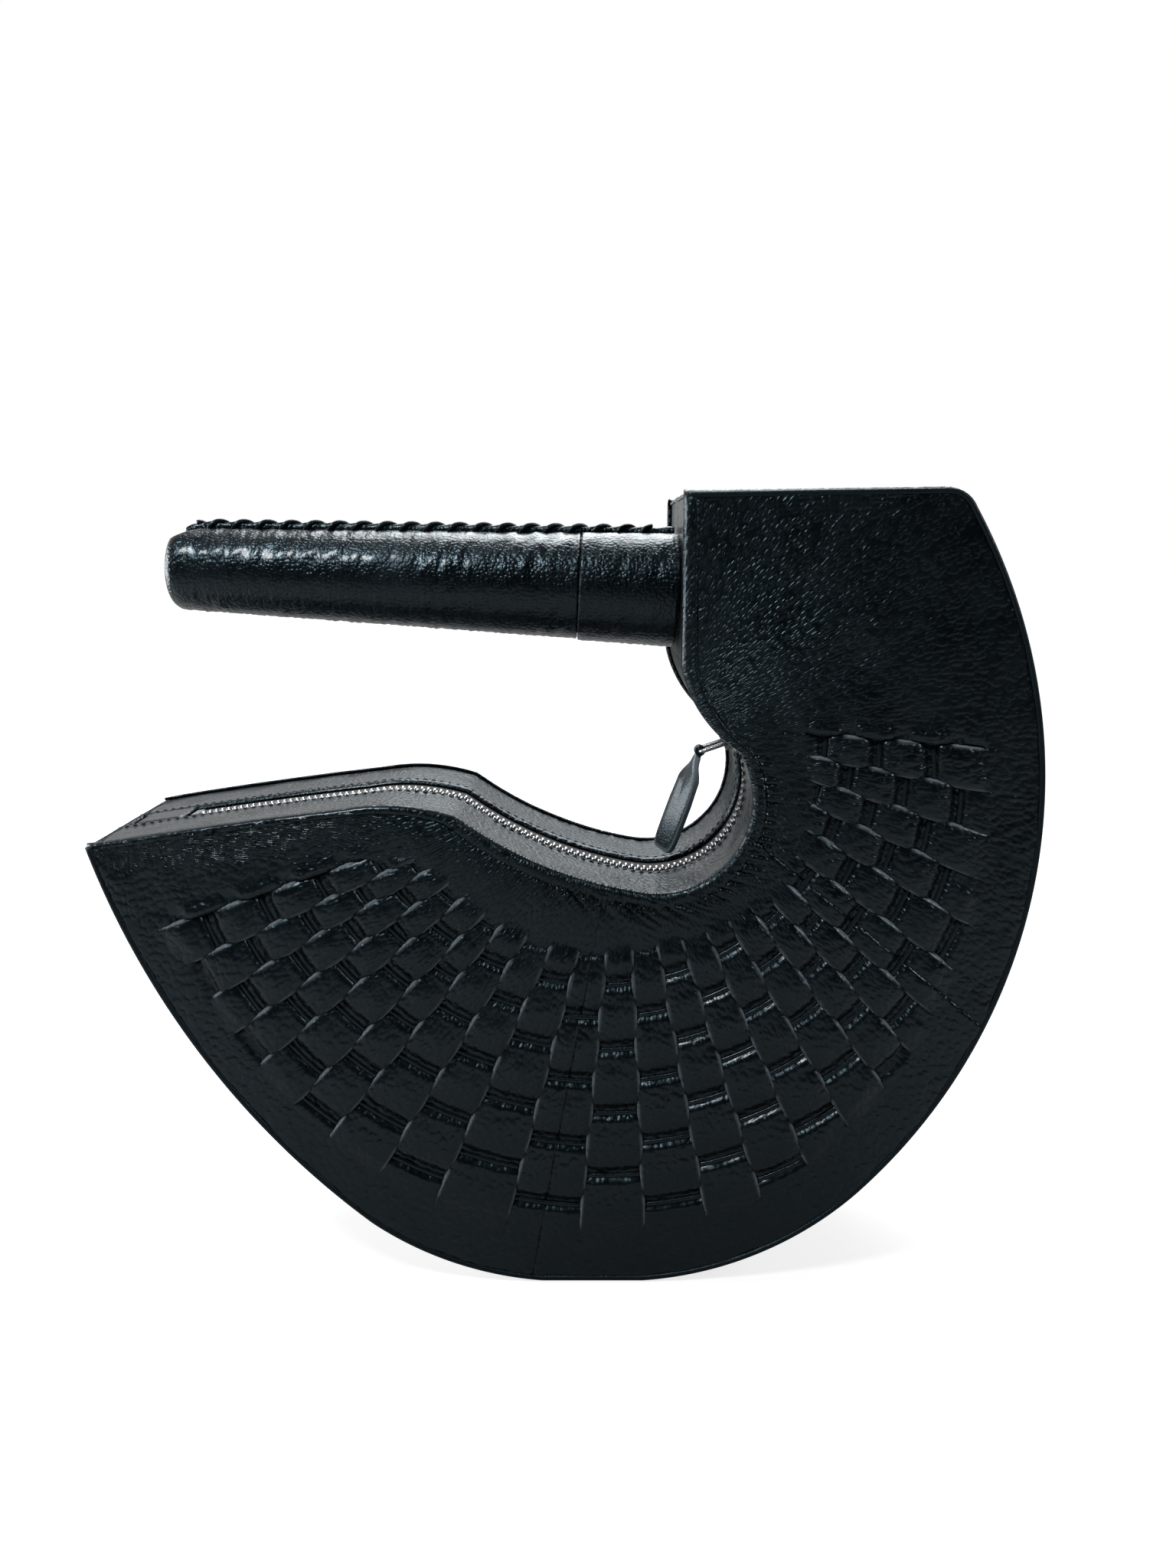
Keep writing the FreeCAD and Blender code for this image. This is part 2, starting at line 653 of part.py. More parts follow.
leg = (path[1] - path[0]).normalize()
cross = leg.cross(V(0, 1, 0)).normalize()
CORNERS = ((-half, -half), (half, -half), (half, half), (-half, half))
square = [start + cross * a + V(0, 1, 0) * b for a, b in CORNERS]
profile = Part.makePolygon(square + [square[0]])
lace = Part.makePolygon(path).makePipeShell([profile], True, False, 1)
save("handle_ridge", seam_frame(ridge.cut(holes)))
save("handle_lace", seam_frame(lace))

# backing plate and screws that carry the handle on the head
X_PLATE = 43.6 * SX + D_LINING + LINING + 0.3
plate = Part.makeBox(2.0, 44.0, 44.0, V(X_PLATE, -22.0, ROOT.z - 22.0))
plate = plate.cut(BOLTS)
save("handle_plate", plate)
screws = []
for y, z in SCREWS:
    shank = Part.makeCylinder(SCREW_R, 24.0, V(X_PLATE + 2.0 - 24.0, y, ROOT.z + z), V(1, 0, 0))
    head = Part.makeCylinder(SCREW_R * 1.8, 2.6, V(X_PLATE + 2.0, y, ROOT.z + z), V(1, 0, 0))
    screws.append(shank.fuse(head).removeSplitter())
save("handle_screws", Part.makeCompound(screws))
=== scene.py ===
# %% Start: tools and the fixed frame
import math
import bpy
import numpy as np
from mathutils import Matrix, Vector


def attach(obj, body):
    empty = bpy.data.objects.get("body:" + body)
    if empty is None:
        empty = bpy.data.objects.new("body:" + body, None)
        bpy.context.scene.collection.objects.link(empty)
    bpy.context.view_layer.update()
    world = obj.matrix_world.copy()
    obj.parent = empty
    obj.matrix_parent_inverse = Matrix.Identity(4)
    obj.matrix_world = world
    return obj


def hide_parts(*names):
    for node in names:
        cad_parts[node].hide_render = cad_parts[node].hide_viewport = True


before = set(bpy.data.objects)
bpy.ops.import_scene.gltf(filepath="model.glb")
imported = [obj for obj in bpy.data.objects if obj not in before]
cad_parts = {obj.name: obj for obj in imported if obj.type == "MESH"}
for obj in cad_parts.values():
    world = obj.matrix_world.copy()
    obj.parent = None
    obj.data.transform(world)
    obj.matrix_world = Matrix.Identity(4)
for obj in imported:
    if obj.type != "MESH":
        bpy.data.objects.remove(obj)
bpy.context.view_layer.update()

# %% [markdown]
# The object is a structured leather handbag seen from its front face: a fat crescent whose upper end
# grows into a square head, with a tapered grip standing out of the head over the zipped mouth.
# Everything below is worked out in millimetres in the frame's own axes (+X to the head, +Z up, front
# face towards -Y) and turned into metres in one place, when a mesh is made.

# %% Sizes in millimetres
MM = 0.001
HALF = 45.0            # half the depth
SKIN = 43.5            # where the face leather lies
VALLEY = np.array([34.5, 194.0])
VALLEY_R = 35.7
FAN = np.array([26.5, 215.3])
MOUTH_HALF = 10.0      # half the slot between the two facings
FREE = np.array([-151.0, 277.0])
ROOT = np.array([43.4, 268.7])
TIP_R, ROOT_R = 15.5, 21.5
CUFF_X = 6.0
LACE_PITCH = 9.2


# %% [markdown]
# The side view is two curves from the pointed tip to the top left corner of the head: one along the
# mouth, one round the rim. Both are chains of arcs through three points, so a handful of points gives
# the whole outline, and every piece that follows an edge is carried along one of them.

# %% Curves of the side view
def arc(a, b, c, step=1.5):
    """Points on the circle through a, b and c, from a to c. The centre solves two chord equations,
    and the sweep is the signed angle from a to c that passes b."""
    a, b, c = (np.array(p, float) for p in (a, b, c))
    m = 2 * np.array([b - a, c - a])
    centre = np.linalg.solve(m, [b @ b - a @ a, c @ c - a @ a])
    angles = [math.atan2(*(p - centre)[::-1]) for p in (a, b, c)]
    sweep = (angles[2] - angles[0]) % (2 * math.pi)
    if (angles[1] - angles[0]) % (2 * math.pi) > sweep:
        sweep -= 2 * math.pi
    r = np.linalg.norm(a - centre)
    n = max(3, int(abs(sweep) * r / step) + 1)
    t = angles[0] + sweep * np.linspace(0, 1, n)
    return centre + r * np.stack([np.cos(t), np.sin(t)], 1)


def chain(*pieces):
    """One curve from several, without the doubled joints."""
    points = np.concatenate([np.array(p, float) for p in pieces])
    keep = np.r_[True, np.linalg.norm(np.diff(points, axis=0), axis=1) > 1e-6]
    return points[keep]


def lengths(points):
    """Distance run along a curve at each of its points."""
    return np.r_[0, np.cumsum(np.linalg.norm(np.diff(points, axis=0), axis=1))]


def even(points, step):
    """The same curve with points every step or so."""
    run = lengths(points)
    n = max(2, int(round(run[-1] / step)) + 1)
    s = np.linspace(0, run[-1], n)
    return np.stack([np.interp(s, run, points[:, i]) for i in range(points.shape[1])], 1)


def on_valley(deg, r=VALLEY_R):
    """A point round the axis of the valley."""
    return VALLEY + r * np.array([math.cos(math.radians(deg)), math.sin(math.radians(deg))])


TIP = np.array([-175.8, 176.6])
NECK = on_valley(32)
FACE_LOW = np.array([43.4, 243.0])
CROWN_L = np.array([43.4, 303.9])
CROWN_R = np.array([134.0, 305.3])
SHOULDER = np.array([144.6, 298.6])
MOUTH_LIP = chain(
    arc(TIP, (-135.0, 183.0), (-79.6, 190.2)),
    arc((-79.6, 190.2), (-57.0, 191.2), (-39.6, 187.6)),
    arc((-39.6, 187.6), (-9.0, 170.0), on_valley(-102)),
    arc(on_valley(-102), on_valley(-30), NECK),
)
HEAD_FACE = chain(arc(NECK, (52.4, 224.0), FACE_LOW), [FACE_LOW, CROWN_L])
INNER = chain(MOUTH_LIP, HEAD_FACE)
BELLY = chain(
    arc(TIP, (-132.0, 86.0), (-75.1, 24.7)),
    arc((-75.1, 24.7), (-45.0, 8.2), (-9.0, 0.0)),
    [(-9.0, 0.0), (31.0, 0.0)],
    arc((31.0, 0.0), (76.0, 11.6), (114.1, 37.8)),
    arc((114.1, 37.8), (175.8, 186.0), SHOULDER),
)
CROWN = chain(arc(SHOULDER, (140.6, 303.4), CROWN_R), [CROWN_R, CROWN_L])
OUTER = chain(BELLY, CROWN)
print("mouth", round(lengths(MOUTH_LIP)[-1]), "mm; rim", round(lengths(OUTER)[-1]), "mm")


# %% [markdown]
# A mesh here is always a grid of points: rows along one parameter, columns along the other. One
# function turns such a grid into faces, and can close it either way. Attributes and a UV map are
# passed as grids too, so a material can know where a cut edge is or which way a strip runs.

# %% Grids into meshes
def grid_faces(n, m, wrap_n, wrap_m, flip):
    """Quads between neighbouring grid points, as rows of four indices."""
    i = np.arange(n if wrap_n else n - 1)
    j = np.arange(m if wrap_m else m - 1)
    a, b = np.meshgrid(i, j, indexing="ij")
    a2, b2 = (a + 1) % n, (b + 1) % m
    quads = np.stack([a * m + b, a2 * m + b, a2 * m + b2, a * m + b2], -1).reshape(-1, 4)
    return quads[:, ::-1] if flip else quads


def make_object(name, points, faces, caps=(), smooth=True):
    """A mesh object from millimetre points and rows of indices."""
    mesh = bpy.data.meshes.new(name)
    rows = faces.tolist() if hasattr(faces, "tolist") else list(faces)
    mesh.from_pydata((np.asarray(points) * MM).tolist(), [], rows + [list(c) for c in caps])
    mesh.validate(clean_customdata=False)
    mesh.polygons.foreach_set("use_smooth", np.full(len(mesh.polygons), smooth))
    mesh.update()
    piece = bpy.data.objects.new(name, mesh)
    bpy.context.scene.collection.objects.link(piece)
    return piece


def grid_object(name, grid, wrap_n=False, wrap_m=False, flip=False, caps=False, **facts):
    """A grid (n, m, 3) as an object; facts are (n, m) attributes, and uv is (n, m, 2)."""
    n, m = grid.shape[:2]
    end_caps = []
    if caps:
        first, last = list(range(m)), list(range((n - 1) * m, n * m))
        end_caps = [first, last[::-1]]
        if flip:
            end_caps = [c[::-1] for c in end_caps]
    piece = make_object(name, grid.reshape(-1, 3), grid_faces(n, m, wrap_n, wrap_m, flip), end_caps)
    for key, value in facts.items():
        if key != "uv":
            attribute = piece.data.attributes.new(key, "FLOAT", "POINT")
            attribute.data.foreach_set("value", np.asarray(value, np.float32).ravel())
    if "uv" in facts:
        loops = np.empty(len(piece.data.loops), int)
        piece.data.loops.foreach_get("vertex_index", loops)
        layer = piece.data.uv_layers.new(name="UVMap")
        layer.data.foreach_set("uv", np.asarray(facts["uv"], float).reshape(-1, 2)[loops].ravel())
    return piece


def outward(piece):
    """Turn a closed mesh's faces outwards."""
    import bmesh
    work = bmesh.new()
    work.from_mesh(piece.data)
    bmesh.ops.recalc_face_normals(work, faces=work.faces)
    work.to_mesh(piece.data)
    work.free()
    return piece


def join_points(pieces):
    """Several (points, faces) pairs as one."""
    points, faces, start = [], [], 0
    for p, f in pieces:
        points.append(p)
        faces.append(f + start)
        start += len(p)
    return np.concatenate(points), np.concatenate(faces)


def inward(curve, body_right):
    """Unit normals of a side-view curve, pointing into the bag."""
    t = np.gradient(curve, axis=0)
    t /= np.linalg.norm(t, axis=1)[:, None]
    n = np.stack([t[:, 1], -t[:, 0]], 1)
    return n if body_right else -n


def carry(curve, normals, y, depth):
    """A profile carried along a curve: point (i, j) is curve i moved in by depth j at y j."""
    depth = np.broadcast_to(depth, (len(curve), np.shape(y)[-1]))
    y = np.broadcast_to(y, depth.shape)
    xz = curve[:, None, :] + normals[:, None, :] * depth[..., None]
    return np.stack([xz[..., 0], y, xz[..., 1]], -1)


def ripple(u, v, wave, seed, count=14):
    """Smooth random relief from -1 to 1: a sum of sine waves of about one wavelength in many
    directions, with fixed phases."""
    draw = np.random.default_rng(seed)
    turn = draw.uniform(0, 2 * np.pi, count)
    phase = draw.uniform(0, 2 * np.pi, count)
    size = 2 * np.pi / (wave * draw.uniform(0.6, 1.7, count))
    total = sum(np.sin(k * (u * np.cos(a) + v * np.sin(a)) + p) for k, a, p in zip(size, turn, phase))
    return total / math.sqrt(count)


def smooth(x, lo, hi):
    """0 below lo, 1 above hi, with a soft step between."""
    t = np.clip((x - lo) / (hi - lo), 0, 1)
    return t * t * (3 - 2 * t)


# %% [markdown]
# The weave: the face leather is slit along lines that fan out from near one point, and leather cords
# are laced through the slits, over one band and under the next. Slit i runs in direction TURN[i] and
# passes the fan centre at the distance ASIDE[i]. The distance of a cord from the fan centre is a cubic
# in the direction. Where a cord passes over, it presses the band into a groove; where it passes under,
# the band puffs up.

# %% Slits and cords
SLITS = 25
CORDS = 9
HOOK = 8.0
COUNT = np.arange(SLITS)
TURN = np.interp(COUNT, [0, 2, 4, 6, 8, 10, 12, 16, 20, 24],
                 [-160.9, -149, -140, -128.5, -113.8, -95, -79.5, -53.4, -30.5, -5])
ASIDE = np.interp(COUNT, [0, 2, 5, 8, 10, 12, 16, 18, 20, 24],
                  [8.3, 1.2, 4.6, 2.5, -3.6, -5.5, -2.4, -1.6, 4.5, 9.0])
SLIT_IN = np.interp(COUNT, [0, 1, 3, 9, 12, 18, 24], [107.7, 91.4, 85.9, 81.5, 76.7, 75.0, 60.5])
SLIT_OUT = np.interp(COUNT, [0, 1, 4, 9, 13, 16, 20, 24], [190, 184, 187.8, 199, 185, 163, 141, 125.5])
BASE = (5.38, 21.85, 4.34, 68.52)        # cubic in direction / 100 degrees: the innermost cord
SPACING = (0.03, -4.1, -7.39, 9.8)       # and the space from one cord to the next
LAST = [24, 24, 24, 24, 24, 24, 20, 17, 14]


def unit(deg):
    a = np.radians(deg)
    return np.stack([np.cos(a), np.sin(a)], -1)


def across_line(x, z, turn, aside):
    """Distance of a point from a slit's line, and how far along the line it lies. The line runs in
    direction turn and passes the fan centre at a distance aside."""
    e = unit(turn)
    dx, dz = x - FAN[0], z - FAN[1]
    return -dx * e[..., 1] + dz * e[..., 0] - aside, dx * e[..., 0] + dz * e[..., 1]


def cord_radius(k, deg):
    """Distance of cord k from the fan centre along a direction: a cubic in the direction, with the
    spacing of the cords a second cubic."""
    t = np.asarray(deg) / 100
    return np.polyval(BASE, t) + k * np.polyval(SPACING, t)


def is_over(k, band):
    return (k + band) % 2 == 0


# %% [markdown]
# The face is one height map over a fan of straight columns that run from the mouth edge to the rim.
# In the weave each column is a slit line or lies between two of them; beyond the first and last slit
# the columns share out the two edges evenly, so the fan closes in the tip and in the head's corner.
# The height adds up the puffed bands, the hollows under the cords, the gathers where the leather is
# eased round the valley, the turned hem along the mouth, and slow unevenness. The left, middle and
# head pieces are cut from the same map along two columns, so they meet exactly at their seams.

# %% Columns of the face
LIP_LINE, RIM_CURVE = even(INNER, 0.5), even(OUTER, 0.5)
LIP_RUN, RIM_RUN = lengths(LIP_LINE), lengths(RIM_CURVE)


def meet(curve, run, turn, aside, last):
    """Run of a curve where a slit line crosses it on its outward side."""
    off, along = across_line(curve[:, 0], curve[:, 1], turn, aside)
    hits = np.flatnonzero((off[:-1] * off[1:] <= 0) & (along[:-1] > 0))
    i = hits[np.argmax(along[hits]) if last else np.argmin(along[hits])]
    return run[i] + (run[i + 1] - run[i]) * off[i] / (off[i] - off[i + 1] + 1e-12)


def column_table():
    """Every column: its place among the slits, its run on the mouth edge and its run on the rim."""
    hair = np.array([-0.10, -0.05, -0.03, -0.018, -0.008, 0.0, 0.008, 0.018, 0.03, 0.05, 0.10])
    places = [0.0]
    for i in range(SLITS):
        places += list(i + hair)
        if i < SLITS - 1:
            places += list(np.linspace(i + 0.10, i + 0.90, int((TURN[i + 1] - TURN[i]) * 1.75) + 2)[1:-1])
    places = np.unique(np.round(np.clip(places, 0, SLITS - 1), 5))
    turn, aside = np.interp(places, COUNT, TURN), np.interp(places, COUNT, ASIDE)
    lip_at = np.array([meet(LIP_LINE, LIP_RUN, t, a, False) for t, a in zip(turn, aside)])
    rim_at = np.array([meet(RIM_CURVE, RIM_RUN, t, a, True) for t, a in zip(turn, aside)])
    left = np.linspace(0, 1, 62)[:-1]
    right = np.linspace(0, 1, 84)[1:]
    return (
        np.r_[left - 1, places, SLITS - 1 + right],
        np.r_[0.02 + lip_at[0] * left, lip_at, lip_at[-1] + (LIP_RUN[-1] - 0.02 - lip_at[-1]) * right],
        np.r_[0.02 + rim_at[0] * left, rim_at, rim_at[-1] + (RIM_RUN[-1] - 0.02 - rim_at[-1]) * right],
    )


PLACES, LIP_AT, RIM_AT = column_table()
ROWS = np.unique(np.r_[np.linspace(0, 1, 175), 0.003, 0.010, 0.985, 0.994])
SEAM_PLACES = (9.5, 18.5)
for mark in SEAM_PLACES:
    PLACES[np.argmin(np.abs(PLACES - mark))] = mark
print("face grid", len(PLACES), "x", len(ROWS))


# %% Height of the face leather
CUT = 0.3              # half width of a slit
HEM = 4.2              # width of the turned hem along the mouth and the head's left edge


def face_height(x, z, place, to_lip, to_rim):
    """Relief of the face in mm, outwards, and from 0 to 1 the painted highlight along the cut edges that
    stand above the next band.
    """
    before = across_line(x, z, TURN[0], ASIDE[0])[0]
    after = across_line(x, z, TURN[-1], ASIDE[-1])[0]
    place = np.where(place < 0, np.minimum(before, 0) / 12,
                     np.where(place > SLITS - 1, SLITS - 1 + np.maximum(after, 0) / 12, place))
    band = np.clip(np.floor(place).astype(int) + 1, 0, SLITS)
    s = np.clip(place - (band - 1), 0, 1)
    near = np.clip(np.round(place).astype(int), 0, SLITS - 1)
    side, along = across_line(x, z, TURN[near], ASIDE[near])
    side = np.abs(side)
    deg = np.degrees(np.arctan2(z - FAN[1], x - FAN[0]))
    r = np.hypot(x - FAN[0], z - FAN[1])
    inside = (smooth(along, SLIT_IN[near] - 0.5, SLIT_IN[near] + 0.5)
              * (1 - smooth(along, SLIT_OUT[near] - 0.5, SLIT_OUT[near] + 0.5)))
    lo, hi = np.interp(place, COUNT, SLIT_IN), np.interp(place, COUNT, SLIT_OUT)
    field = smooth(r, lo - 3, lo + 6) * (1 - smooth(r, hi - 6, hi + 4))
    field = field * smooth(place, -0.55, 0.0) * (1 - smooth(place, 24, 24.55))
    crown = 1 - np.abs(2 * s - 1) ** 4
    height = 0.35 * crown * field
    raised = np.zeros_like(height)
    for k in range(CORDS):
        d = r - cord_radius(k, deg)
        there = (place > -HOOK / 12) & (place < LAST[k] + HOOK / 12) & (field > 0.02)
        over = is_over(k, band)
        hollow = -2.1 * smooth(d, -6.5, -2.2) * (1 - smooth(d, 0.9, 2.3))
        puff = 1.45 * np.exp(-(d / 8.0) ** 2) * (0.55 + 0.45 * crown)
        pucker = 0.22 * ripple(r * np.radians(deg), r * 0.2, 2.4, 5 + k) * np.exp(-((d + 5) / 5.0) ** 2)
        height = height + field * np.where(there, np.where(over, hollow + pucker, puff), 0)
        raised = raised + np.where(there, np.where(over, -1, 1), 0) * np.exp(-(d / 7.5) ** 2)
    cut = np.exp(-(side / CUT) ** 4) * inside
    # A line just inside each slit's cut edge. At the return it is kept only where this band stands above its
    # neighbour: a painted highlight where the raised edge would catch the light.
    edge = np.exp(-((side - 0.32) / 0.24) ** 2) * inside
    height = height - 2.2 * cut
    valley = smooth(deg, -128, -108) * (1 - smooth(deg, -14, 4))
    arc_run = r * np.radians(deg)
    gathers = ripple(arc_run, r * 0.12, 2.6, 21) * np.exp(-((to_lip - 6.5) / 3.4) ** 2)
    height = height + 0.8 * valley * gathers
    left_puff = smooth(deg, -168, -150) * (1 - smooth(deg, -118, -100)) * np.exp(-((to_lip - 13) / 11) ** 2)
    height = height + 1.6 * left_puff
    height = (height + 0.22 * (1 - field) * ripple(x, z, 26, 3) + 0.06 * ripple(x, z, 7, 4)
              + 0.09 * ripple(arc_run * 1.6, r * 0.7, 4.5, 9))
    hem = (0.5 * (1 - smooth(to_lip, HEM - 0.5, HEM + 0.3))
           - 0.45 * np.exp(-((to_lip - HEM - 0.3) / 0.5) ** 2))
    height = height + hem * smooth(to_rim, 4, 9)
    height = height - 1.6 * (1 - np.clip(to_lip / 1.6, 0, 1)) ** 2
    height = height - 1.6 * np.exp(-(to_rim / 1.8) ** 2)
    seam = np.full_like(r, 9.0)
    for mark in SEAM_PLACES:
        turn, aside = np.interp(mark, COUNT, TURN), np.interp(mark, COUNT, ASIDE)
        off, ahead = across_line(x, z, turn, aside)
        seam = np.where(ahead > 0, np.minimum(seam, np.abs(off)), seam)
    height = height - 0.8 * np.exp(-(seam / 0.5) ** 2)
    # The second value is the painted highlight on the raised cut edges.
    return height, edge * smooth(raised, 0.1, 0.6), deg, r


def face_grid(pick, front=True):
    """The face as a grid of points, with the painted highlight of its raised cut edges and its grain map in
    metres.
    """
    lip = np.stack([np.interp(LIP_AT[pick], LIP_RUN, LIP_LINE[:, i]) for i in (0, 1)], 1)
    rim = np.stack([np.interp(RIM_AT[pick], RIM_RUN, RIM_CURVE[:, i]) for i in (0, 1)], 1)
    span = np.linalg.norm(rim - lip, axis=1)
    rim = lip + (rim - lip) * ((span - np.minimum(1.1, 0.4 * span)) / span)[:, None]
    xz = lip[:, None, :] + (rim - lip)[:, None, :] * ROWS[None, :, None]
    x, z = xz[..., 0], xz[..., 1]
    to_lip = (np.linalg.norm(rim - lip, axis=1)[:, None] * ROWS[None, :])
    to_rim = span[:, None] - to_lip
    height, edge, deg, r = face_height(x, z, np.broadcast_to(PLACES[pick][:, None], x.shape), to_lip, to_rim)
    y = -(SKIN + height) if front else SKIN + height
    grain = np.stack([np.radians(deg) * 120, r], -1) * MM
    return np.stack([x, y, z], -1), edge, grain


# %% [markdown]
# Materials come next, so each piece can be finished as it is made. One function adds a node with its
# settings and links; colours are written as screen hex values and turned to linear light. The leather
# is full-grain calf with a pressed pebble and a thin glossy top coat: the eye sees near-black, slightly
# blue, with small sharp glints on the pebbles. The pale lines along the slits are a painted highlight
# on the cut edges of the raised bands.

# %% Nodes and colours
def linear(code):
    """An sRGB hex colour as linear RGBA."""
    c = np.array([int(code[i:i + 2], 16) for i in (1, 3, 5)]) / 255
    c = np.where(c <= 0.04045, c / 12.92, ((c + 0.055) / 1.055) ** 2.4)
    return (*c.tolist(), 1.0)


def add(tree, kind, values=None, links=None, **settings):
    """One node: settings are its properties, values its sockets' numbers, links its inputs."""
    made = tree.nodes.new(kind)
    for key, value in settings.items():
        setattr(made, key, value)
    for key, value in (values or {}).items():
        made.inputs[key].default_value = value
    for key, source in (links or {}).items():
        tree.links.new(source, made.inputs[key])
    return made


def blank(name):
    material = bpy.data.materials.new(name)
    material.use_nodes = True
    material.node_tree.nodes.clear()
    return material, material.node_tree


def finish(tree, **links):
    shader = links["shader"]
    add(tree, "ShaderNodeOutputMaterial", links={"Surface": shader.outputs[0]})


def leather(name, dark="#020407", light="#080D12", grain=(1.7, 2.9), depth=0.30, rough=(0.30, 0.42),
            mapped=False,
            crease=None, edge=None, coat=0.22):
    """Pebbled leather: cells of the given width and length in mm, their borders pressed in, with finer
    pores on top. The cells run along the grain map where there is one, else along the piece's z axis.
    crease is (mm along x, mm across) of soft creases; edge names an attribute that turns the colour
    pale: real edge paint on the strap, a painted highlight along the raised cut edges of the face."""
    material, tree = blank(name)
    place = add(tree, "ShaderNodeTexCoord")
    source = place.outputs["UV" if mapped else "Object"]
    drift = add(tree, "ShaderNodeTexNoise", {"Scale": 1 / (4 * grain[0] * MM), "Detail": 2.0},
                {"Vector": source})
    shift = add(tree, "ShaderNodeVectorMath", {"Scale": 1.4 * grain[0] * MM},
                {0: drift.outputs["Color"]}, operation="SCALE")
    bent = add(tree, "ShaderNodeVectorMath", links={0: source, 1: shift.outputs[0]}, operation="ADD")
    size = (grain[0], grain[1], grain[0]) if mapped else (grain[0], grain[0], grain[1])
    scaled = add(tree, "ShaderNodeMapping", {"Scale": tuple(1 / (g * MM) for g in size)},
                 {"Vector": bent.outputs[0]})
    cells = add(tree, "ShaderNodeTexVoronoi", {"Scale": 1.0, "Randomness": 0.85, "Smoothness": 0.35},
                {"Vector": scaled.outputs[0]},
                feature="SMOOTH_F1")
    pebble = add(tree, "ShaderNodeMapRange", {"From Min": 0.25, "From Max": 0.75, "To Min": 1.0,
                                              "To Max": 0.0},
                 {"Value": cells.outputs["Distance"]}, interpolation_type="SMOOTHSTEP")
    pores = add(tree, "ShaderNodeTexNoise", {"Scale": 1 / (0.6 * MM), "Detail": 4.0, "Roughness": 0.6},
                {"Vector": place.outputs["Object"]})
    slow = add(tree, "ShaderNodeTexNoise", {"Scale": 1 / (22 * MM), "Detail": 3.0},
               {"Vector": place.outputs["Object"]})
    bump = add(tree, "ShaderNodeBump", {"Strength": 0.4, "Distance": 0.08 * MM},
               {"Height": pores.outputs["Fac"]})
    bump = add(tree, "ShaderNodeBump", {"Strength": 0.9, "Distance": depth * MM},
               {"Height": pebble.outputs["Result"], "Normal": bump.outputs["Normal"]})
    if crease:
        stretched = add(tree, "ShaderNodeMapping", {"Scale": (1 / (crease[0] * MM),
                                                              1 / (crease[1] * MM), 1 / (crease[1] * MM))},
                        {"Vector": bent.outputs[0]})
        folds = add(tree, "ShaderNodeTexNoise", {"Scale": 1.0, "Detail": 2.0, "Roughness": 0.5},
                    {"Vector": stretched.outputs[0]})
        bump = add(tree, "ShaderNodeBump", {"Strength": 0.8, "Distance": 0.5 * MM},
                   {"Height": folds.outputs["Fac"], "Normal": bump.outputs["Normal"]})
    # The colour mixes by a slow random tone times the pebble: lighter on the pebble tops, darker in the
    # pressed borders between them.
    shade = add(tree, "ShaderNodeMapRange", {"From Min": 0.3, "From Max": 0.7, "To Min": 0.15,
                                             "To Max": 0.85},
                {"Value": slow.outputs["Fac"]})
    pebble_tone = add(tree, "ShaderNodeMath", links={0: shade.outputs[0], 1: pebble.outputs["Result"]},
               operation="MULTIPLY")
    colour = add(tree, "ShaderNodeMix", {"A": linear(dark), "B": linear(light)}, {0: pebble_tone.outputs[0]},
                 data_type="RGBA")
    tone = colour.outputs["Result"]
    # The attribute mixes in the pale #7C868E: the strap's real edge paint, and on the face a painted
    # highlight along the raised cut edges.
    if edge:
        edge_paint_and_highlight = add(tree, "ShaderNodeAttribute", attribute_name=edge)
        pale = add(tree, "ShaderNodeMix", {"B": linear("#7C868E")}, {0: edge_paint_and_highlight.outputs["Fac"], "A": tone},
                   data_type="RGBA")
        tone = pale.outputs["Result"]
    gloss = add(tree, "ShaderNodeMapRange", {"From Min": 0.3, "From Max": 0.7, "To Min": rough[0],
                                             "To Max": rough[1]},
                {"Value": slow.outputs["Fac"]})
    shader = add(tree, "ShaderNodeBsdfPrincipled", {"IOR": 1.47, "Coat Weight": coat, "Coat Roughness": 0.15,
                 "Specular Tint": (0.56, 0.84, 1.0, 1.0)},
                 {"Base Color": tone, "Roughness": gloss.outputs[0], "Normal": bump.outputs["Normal"]})
    finish(tree, shader=shader)
    return material


def cloth(name, colour, light, thread=0.5):
    """Woven cloth: two sets of ridges a thread apart along two directions, worked out from sines of
    the position."""
    material, tree = blank(name)
    place = add(tree, "ShaderNodeTexCoord")
    a = add(tree, "ShaderNodeTexWave", {"Scale": 1 / (thread * MM) / 6.283, "Distortion": 0.6},
            {"Vector": place.outputs["Object"]},
            bands_direction="X")
    b = add(tree, "ShaderNodeTexWave", {"Scale": 1 / (thread * MM) / 6.283, "Distortion": 0.6},
            {"Vector": place.outputs["Object"]},
            bands_direction="Z")
    both_ways = add(tree, "ShaderNodeMath", links={0: a.outputs["Fac"], 1: b.outputs["Fac"]},
                    operation="MULTIPLY")
    tone = add(tree, "ShaderNodeMix", {"A": linear(colour), "B": linear(light)},
               {0: both_ways.outputs[0]}, data_type="RGBA")
    bump = add(tree, "ShaderNodeBump", {"Strength": 0.6, "Distance": 0.1 * MM},
               {"Height": both_ways.outputs[0]})
    shader = add(tree, "ShaderNodeBsdfPrincipled", {"Roughness": 0.85, "Sheen Weight": 0.2},
                 {"Base Color": tone.outputs["Result"], "Normal": bump.outputs["Normal"]})
    finish(tree, shader=shader)
    return material


